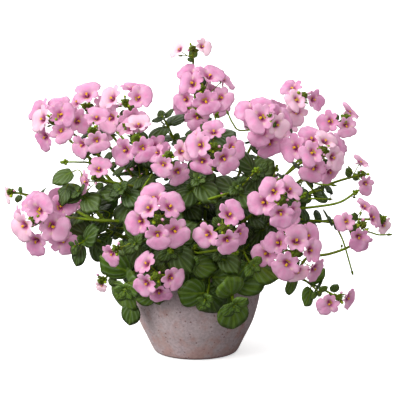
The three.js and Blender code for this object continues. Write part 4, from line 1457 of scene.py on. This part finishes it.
def add_drop(heap, place, at, radii, tone, kind, sides=6, rows=4, turn=0.0):
    """A small rounded body, such as an anther, a bud or a pod, longest along its own y axis."""
    profile = [(math.sin(a), -math.cos(a)) for a in np.linspace(0, math.pi, rows + 2)]
    points, faces = turned([(0, -1), *profile[1:-1], (0, 1)], sides)
    points = points[:, [0, 2, 1]] * np.array([1, 1, -1]) * np.array(radii)
    cos, sin = math.cos(turn), math.sin(turn)
    points = points @ np.array([[cos, sin, 0], [-sin, cos, 0], [0, 0, 1]]) + np.array(at)
    heap.add(put_in(place, points), faces, (0, 0, 0), tone, kind)


def add_sepals(heap, centre, axis, length, spread, draw):
    """The calyx: five small pointed sepals that hold the back of a bloom, a bud or a pod."""
    start = draw() * 6
    for i in range(SEPALS):
        out = around(axis, start + i * 2 * math.pi / SEPALS, UP + np.array([0.1, 0, 0]))
        place = place_at(centre, out * spread + axis, axis - out * spread, length)
        heap.add(put_in(place, SEPAL_POINTS), SEPAL_FACES, (0, 0, 0), (0.35, 0.12, draw()), 1)


def add_stalk(green, start, end, arrive, radius, draw):
    """A fine stalk from the axis to the back of what it carries, bowed a little."""
    length = np.linalg.norm(end - start)
    middle = (start + end) / 2 - UP * STALK_SAG * length * draw() - arrive * 0.25 * length
    line = bowed(start, middle, end, STALK_RINGS)
    radii = np.linspace(radius * 1.15, radius * 0.9, STALK_RINGS)
    add_tube(green, line, radii, 5, (0.5, 0, 0.4 + 0.5 * draw()))


def add_bloom(petals, green, bloom, draw):
    """One open bloom, with a mood of its own: how its sheet cups, folds, waves, leans and curls."""
    mood = {
        "cup": draw() - 0.4,
        "fold": 1.1 * draw() ** 2,
        "wave": FULL_TURN * draw(),
        "lean": draw() - 0.5,
        "curl": draw(),
        "wide": 0.22 * (draw() - 0.4),
    }
    tone = (bloom["pale"], draw())
    add_petals(petals, bloom, mood, tone)
    place, size = bloom["place"], bloom["size"]
    for side in (1, -1):
        line = smooth_line(np.array(SPUR) * np.array([side, 1, 1]), len(SPUR_RADII))
        add_tube(petals, put_in(place, line), SPUR_RADII * size, 7, (bloom["pale"], 1, tone[1]))
    for x, y, z in ANTHERS:
        at = (x + 0.3 * (draw() - 0.5), y + 0.3 * (draw() - 0.5), z)
        add_drop(petals, place, at, (0.62, 0.9, 0.55), (draw(), 0, 0), 2, turn=0.5 * x)
        line = put_in(place, [(x * 0.5, -0.3, -3), (x * 0.9, y * 0.5, -0.6), (x, y, z)])
        add_tube(petals, line, np.array([0.32, 0.28, 0.24]) * size, 4, (0.3, 1, 0.6))
    end = put_in(place, STALK_END)
    forward = unit(place[1][:, 2])
    add_stalk(green, bloom["start"], end - forward * 0.2, forward, 0.52, draw)
    add_sepals(green, end - forward * 0.3, forward, 2.6 * size, 1.9, draw)


def petal_pink():
    """Soft pink with a dark throat. A faint glow stands for the light that comes through a lobe."""
    petal = Finish("petal_pink")
    x, y, t = petal.note("part_place")
    pale, back, shade = petal.note("part_tone")
    place = petal.place()
    far = petal.math("ABSOLUTE", x)

    def from_middle(middle_x, middle_y, wide, tall):
        across = petal.math("DIVIDE", petal.math("SUBTRACT", far, middle_x), wide)
        along = petal.math("DIVIDE", petal.math("SUBTRACT", y, middle_y), tall)
        both = petal.math("ADD", petal.math("POWER", across, 2.0), petal.math("POWER", along, 2.0))
        return petal.math("SQRT", both)

    def paint(colour, share, red, green, blue):
        return petal.mix(share, colour, linear(red, green, blue))

    skin = petal.shared(
        MOTTLE, Place=place, Scale=150, Detail=3.0, Roughness=0.5, Low=0.35, High=0.68, Share=1.0,
        Ground=linear(184, 117, 156), Spots=linear(198, 148, 177),
    )
    cloud = skin["Cloud"]
    colour = paint(skin["Colour"], petal.math("MULTIPLY", shade, 0.4), 224, 168, 196)
    flush = petal.fade(from_middle(0, -8.5, 6.5, 5.5), 0.1, 1.0, 0.65, 0.0)
    colour = paint(colour, petal.math("MULTIPLY", flush, petal.fade(cloud, 0.3, 0.6)), 212, 112, 168)
    angle = petal.math("ARCTAN2", x, petal.math("ADD", y, 0.8))
    spokes = petal.put("CombineXYZ")
    petal.feed(spokes.inputs[0], petal.math("MULTIPLY", angle, 9.0))
    petal.feed(spokes.inputs[1], petal.math("MULTIPLY", t, 0.8))
    petal.feed(spokes.inputs[2], petal.math("MULTIPLY", shade, 20.0))
    streaks = petal.noise(spokes.outputs[0], 1.0, 3.0, 0.6)
    colour = paint(colour, petal.fade(streaks, 0.45, 0.75, 0.0, 0.3), 218, 122, 180)
    colour = paint(colour, petal.fade(t, 0.9, 0.99, 0.0, 0.55), 228, 150, 194)
    colour = paint(colour, petal.math("MULTIPLY", pale, 0.75), 238, 206, 214)
    # Painted shade: the base of each side lobe beside the throat is greyed toward cream, for the shade on
    # the inner side of the cup.
    painted_side_shade = petal.fade(from_middle(6.2, -2.2, 2.6, 2.0), 0.2, 1.1, 0.75, 0.0)
    colour = paint(colour, painted_side_shade, 206, 172, 162)
    colour = paint(colour, petal.fade(from_middle(0, 0.0, 6.6, 4.6), 0.5, 1.1, 0.75, 0.0), 186, 84, 140)
    pocket = petal.math("ADD", from_middle(0, -0.4, 5.0, 3.1), petal.fade(streaks, 0.3, 0.7, 0.25, -0.25))
    colour = paint(colour, petal.fade(pocket, 0.4, 1.0, 0.95, 0.0), 134, 46, 94)
    colour = paint(colour, petal.fade(pocket, 0.0, 0.5, 0.85, 0.0), 90, 24, 58)
    window = petal.fade(from_middle(1.3, 1.9, 1.7, 1.05), 0.65, 1.0, 0.95, 0.0)
    colour = paint(colour, window, 186, 156, 40)
    colour = paint(colour, petal.math("MULTIPLY", back, 0.45), 226, 168, 200)
    return petal.surface(
        Base_Color=colour,
        Roughness=petal.fade(cloud, 0.3, 0.7, 0.48, 0.62),
        Normal=petal.bump(petal.math("ADD", streaks, petal.noise(place, 1600, 3.0)), 0.22, 0.0003),
        Specular_IOR_Level=0.25,
        Subsurface_Weight=0.15,
        Subsurface_Radius=(1.0, 0.6, 0.85),
        Subsurface_Scale=0.002,
        Sheen_Weight=0.1,
        Sheen_Roughness=0.4,
        Emission_Color=colour,
        Emission_Strength=petal.fade(t, 0.15, 0.7, 0.03, LIT_THROUGH),
    )


def bud_pink():
    """The finish of spurs, filaments and opening buds, which have no throat."""
    bud = Finish("bud_pink")
    pale, _, shade = bud.note("part_tone")
    place = bud.place()
    skin = bud.shared(
        MOTTLE, Place=place, Scale=500, Detail=3.0, Roughness=0.5, Low=0.35, High=0.65, Share=1.0,
        Ground=linear(212, 110, 168), Spots=linear(238, 168, 206),
    )
    cloud = skin["Cloud"]
    colour = bud.mix(bud.math("MULTIPLY", pale, 0.6), skin["Colour"], linear(240, 208, 218))
    colour = bud.mix(bud.math("MULTIPLY", shade, 0.25), colour, linear(196, 92, 150))
    return bud.surface(
        Base_Color=colour,
        Roughness=bud.fade(cloud, 0.3, 0.7, 0.42, 0.6),
        Normal=bud.bump(cloud, 0.2, 0.0003),
        Specular_IOR_Level=0.35,
        Subsurface_Weight=0.2,
        Subsurface_Radius=(1.0, 0.5, 0.8),
        Subsurface_Scale=0.0015,
    )


def anther_yellow():
    anther = Finish("anther_yellow")
    place = anther.place()
    ripe, _, _ = anther.note("part_tone")
    pollen = anther.shared(
        MOTTLE, Place=place, Scale=2500, Detail=3.0, Roughness=0.6, Low=0.45, High=0.7, Share=0.5,
        Ground=anther.mix(ripe, linear(228, 168, 6), linear(250, 212, 30)), Spots=linear(178, 96, 10),
    )
    grain = pollen["Cloud"]
    return anther.surface(
        Base_Color=pollen["Colour"],
        Roughness=anther.fade(grain, 0.3, 0.7, 0.5, 0.8),
        Normal=anther.bump(grain, 0.5, 0.0002),
        Specular_IOR_Level=0.3,
    )


PETAL_FINISHES = [petal_pink(), bud_pink(), anther_yellow()]


# The flower heads
# Each raceme is a thin green axis with open blooms on fine stalks round it, seed pods where the
# first blooms have dropped, and a knob of closed buds at its tip that goes on opening upward.

AXIS_RINGS = 9
FULL_KNOB = 19
SMALL_KNOB = 14
HEAD_SEED = 4000


def add_bud_knob(green, head, draw):
    """Closed buds packed in a spiral at the tip of the raceme, smallest at the very end."""
    count = FULL_KNOB if head["blooms"] > 2 else SMALL_KNOB
    for i in range(count):
        share = i / (count - 1)
        out = out_from(head, i * GOLDEN_ANGLE)
        reach = 2.9 * (1 - share) ** 0.7 + 0.2
        at = head["tip"] + head["way"] * (-4.5 + 7.6 * share) + out * reach
        axis = unit(out * (1.1 - 0.9 * share) + head["way"] * 0.9)
        size = 2.4 - 1.3 * share + 0.3 * draw()
        place = place_at(at, axis, UP + 0.2 * out, 1.0)
        tone = (0.05, 0.2 + 0.4 * draw(), draw() * 0.4)
        add_drop(green, place, (0, 0, 0), (0.7 * size, size, 0.7 * size), tone, 1)
        if share < 0.75:
            add_sepals(green, at - axis * size * 0.7, axis, 1.9 * size, 0.42, draw)


def add_side_buds(green, petals, head, draw):
    """Buds about to open under the knob, and seed pods lower down, on stalks of their own."""
    for i in range(2 + head["blooms"] // 3):
        out = out_from(head, head["turn"] + 0.9 + i * 2.1 + draw())
        start = head["tip"] - head["way"] * (5 + 2 * draw())
        axis = unit(out + head["way"] * (0.9 + 0.4 * draw()))
        end = start + axis * (4.5 + 3 * draw())
        add_stalk(green, start, end, axis, 0.48, draw)
        size = 1.2 + 0.7 * draw()
        place = place_at(end + axis * size, axis, UP + 0.2 * out, 1.0)
        pink = i % 3 == 1
        tone = (0.35 + 0.5 * draw(), 1, draw()) if pink else (1, 0, 1)
        radii = (size * 0.9, size * 1.2, size * 0.9)
        add_drop(petals if pink else green, place, (0, 0, 0), radii, tone, 1, 8, 5)
        add_sepals(green, end, axis, 2.8, 0.5, draw)
    for i in range((head["blooms"] + 1) // 2):
        out = out_from(head, head["turn"] + 2.4 + i * 2.6 + draw())
        low = min(head["length"] - 4, 12 + 3.5 * i + 3 * draw())
        start = head["tip"] - head["way"] * low
        axis = unit(out + head["way"] * (0.35 - 0.9 * draw()))
        end = start + axis * (6 + 6 * draw())
        add_stalk(green, start, end, axis, 0.48, draw)
        place = place_at(end + axis * 2.2, axis, UP + 0.2 * out, 1.0)
        add_drop(green, place, (0, 0, 0), (1.0, 2.5, 1.0), (0.25, 0.3 * draw(), draw() * 0.7), 1, 7, 5)
        add_sepals(green, end, axis, 2.4, 0.5, draw)


def add_bracts(green, head, draw):
    """The small narrow leaf that stands under each stalk on the lower part of the axis."""
    for i in range(2 + head["blooms"] // 3):
        out = out_from(head, head["turn"] + 1.2 + i * GOLDEN_ANGLE)
        share = 0.12 + 0.16 * i + 0.05 * draw()
        start = head["base"] + head["way"] * head["length"] * share + out * 0.8
        length = 7 + 5 * draw()
        way = out + head["way"] * (0.5 + 0.4 * draw())
        spot = leaf_at(start, way, head["way"] - out * 0.4, length, 0.3)
        add_leaf(green, spot, 0.3 + 0.4 * draw(), draw, small=True)


def make_head(head):
    """Both pieces of a raceme: its petals, and everything green that carries them."""
    petals, green = Heap(), Heap()
    draw = seeded(HEAD_SEED + head["index"])
    faded = smooth(head["size"], 0.8, 0.62)
    for bloom in grow_blooms(head):
        bloom["pale"] = min(1, 0.85 * faded + (0.55 if draw() < 0.12 else 0.0) + 0.2 * draw())
        add_bloom(petals, green, bloom, draw)
    shares = np.linspace(0, 1, AXIS_RINGS)[:, None]
    line = head["base"] + head["way"] * (head["length"] - 2) * shares
    add_tube(green, line, np.linspace(1.15, 0.8, AXIS_RINGS), 8, (0.45, 0, 0.7), corners=0.1)
    add_bud_knob(green, head, draw)
    add_side_buds(green, petals, head, draw)
    add_bracts(green, head, draw)
    pieces = [
        petals.lay(head["node"] + "_blooms", PETAL_FINISHES),
        green.lay(head["node"] + "_stalks", [LEAF_GREEN, STEM_GREEN]),
    ]
    for piece, slot in zip(pieces, ("petal", "foliage")):
        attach(piece, "root")
        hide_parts(head["node"])


for head in heads:
    make_head(head)


# The floor, the light and the camera
# A plain pale floor, shown white, under soft studio light: one broad light from high on the left,
# weak ones from in front and from behind, and a white room that is darker on the right.

TARGET = Vector((0.004, 0, 0.154))
CAMERA_DISTANCE = 1.5
CAMERA_ELEVATION = math.radians(9)
PICTURE_WIDTH = 0.4
SENSOR = 36.0
FLOOR_RADIUS = 30
FLOOR_SIDES = 64
FLOOR_GLOW = 0.55
ROOM_LIGHT = 0.86
DARK_SIDE = 0.12


def pale_floor():
    paint = Finish("pale_floor")
    cloud = paint.noise(paint.place(), 3, 2.0)
    colour = paint.mix(cloud, linear(246, 246, 246), linear(249, 249, 249))
    seen = paint.put("LightPath").outputs["Is Camera Ray"]
    colour = paint.mix(seen, linear(120, 120, 120), colour)
    return paint.surface(
        Base_Color=colour,
        Roughness=0.9,
        Specular_IOR_Level=0.1,
        Emission_Color=(1, 1, 1, 1),
        Emission_Strength=paint.math("MULTIPLY", seen, FLOOR_GLOW),
    )


def lay_floor():
    angles = np.linspace(0, 2 * math.pi, FLOOR_SIDES, endpoint=False)
    points = np.stack([np.cos(angles), np.sin(angles), angles * 0], 1) * FLOOR_RADIUS / MM
    floor = lay_mesh("floor", points, [tuple(range(FLOOR_SIDES))], [pale_floor()])


def add_light(name, comes_from, strength, softness, colour=(1, 1, 1)):
    light = bpy.data.lights.new(name, "SUN")
    light.energy = strength
    light.angle = math.radians(softness)
    light.color = colour
    lamp = bpy.data.objects.new(name, light)
    lamp.rotation_euler = Vector(comes_from).to_track_quat("Z", "Y").to_euler()
    bpy.context.scene.collection.objects.link(lamp)


lay_floor()
add_light("broad_left", (-1.45, -0.75, 1.15), 2.4, 48, (1, 0.995, 0.98))
add_light("front_fill", (-0.2, -1.2, 1.1), 0.5, 60)
add_light("rim_behind", (0.5, 1.3, 1.2), 0.5, 60)


def light_room():
    """A white room that is darker low down on the right, away from the broad light."""
    world = bpy.data.worlds.new("studio")
    world.use_nodes = True
    room = Finish("studio", world.node_tree)
    way = room.put("SeparateXYZ")
    room.feed(way.inputs[0], room.put("TexCoord").outputs["Generated"])
    right = room.fade(way.outputs["X"], -0.1, 0.7)
    low = room.fade(way.outputs["Z"], 0.75, 0.3)
    strength = room.fade(room.math("MULTIPLY", right, low), 0, 1, ROOM_LIGHT, ROOM_LIGHT * DARK_SIDE)
    shown = world.node_tree.nodes["Background"]
    room.feed(shown.inputs["Color"], (1, 1, 1, 1))
    room.feed(shown.inputs["Strength"], strength)
    bpy.context.scene.world = world


light_room()
bpy.context.scene.view_settings.view_transform = "Standard"

camera = bpy.data.objects.new("camera", bpy.data.cameras.new("camera"))
camera.data.sensor_width = SENSOR
camera.data.lens = SENSOR * CAMERA_DISTANCE / PICTURE_WIDTH
away = Vector((0, -math.cos(CAMERA_ELEVATION), math.sin(CAMERA_ELEVATION)))
camera.location = TARGET + away * CAMERA_DISTANCE
camera.rotation_euler = (-away).to_track_quat("-Z", "Y").to_euler()
bpy.context.scene.collection.objects.link(camera)
bpy.context.scene.camera = camera
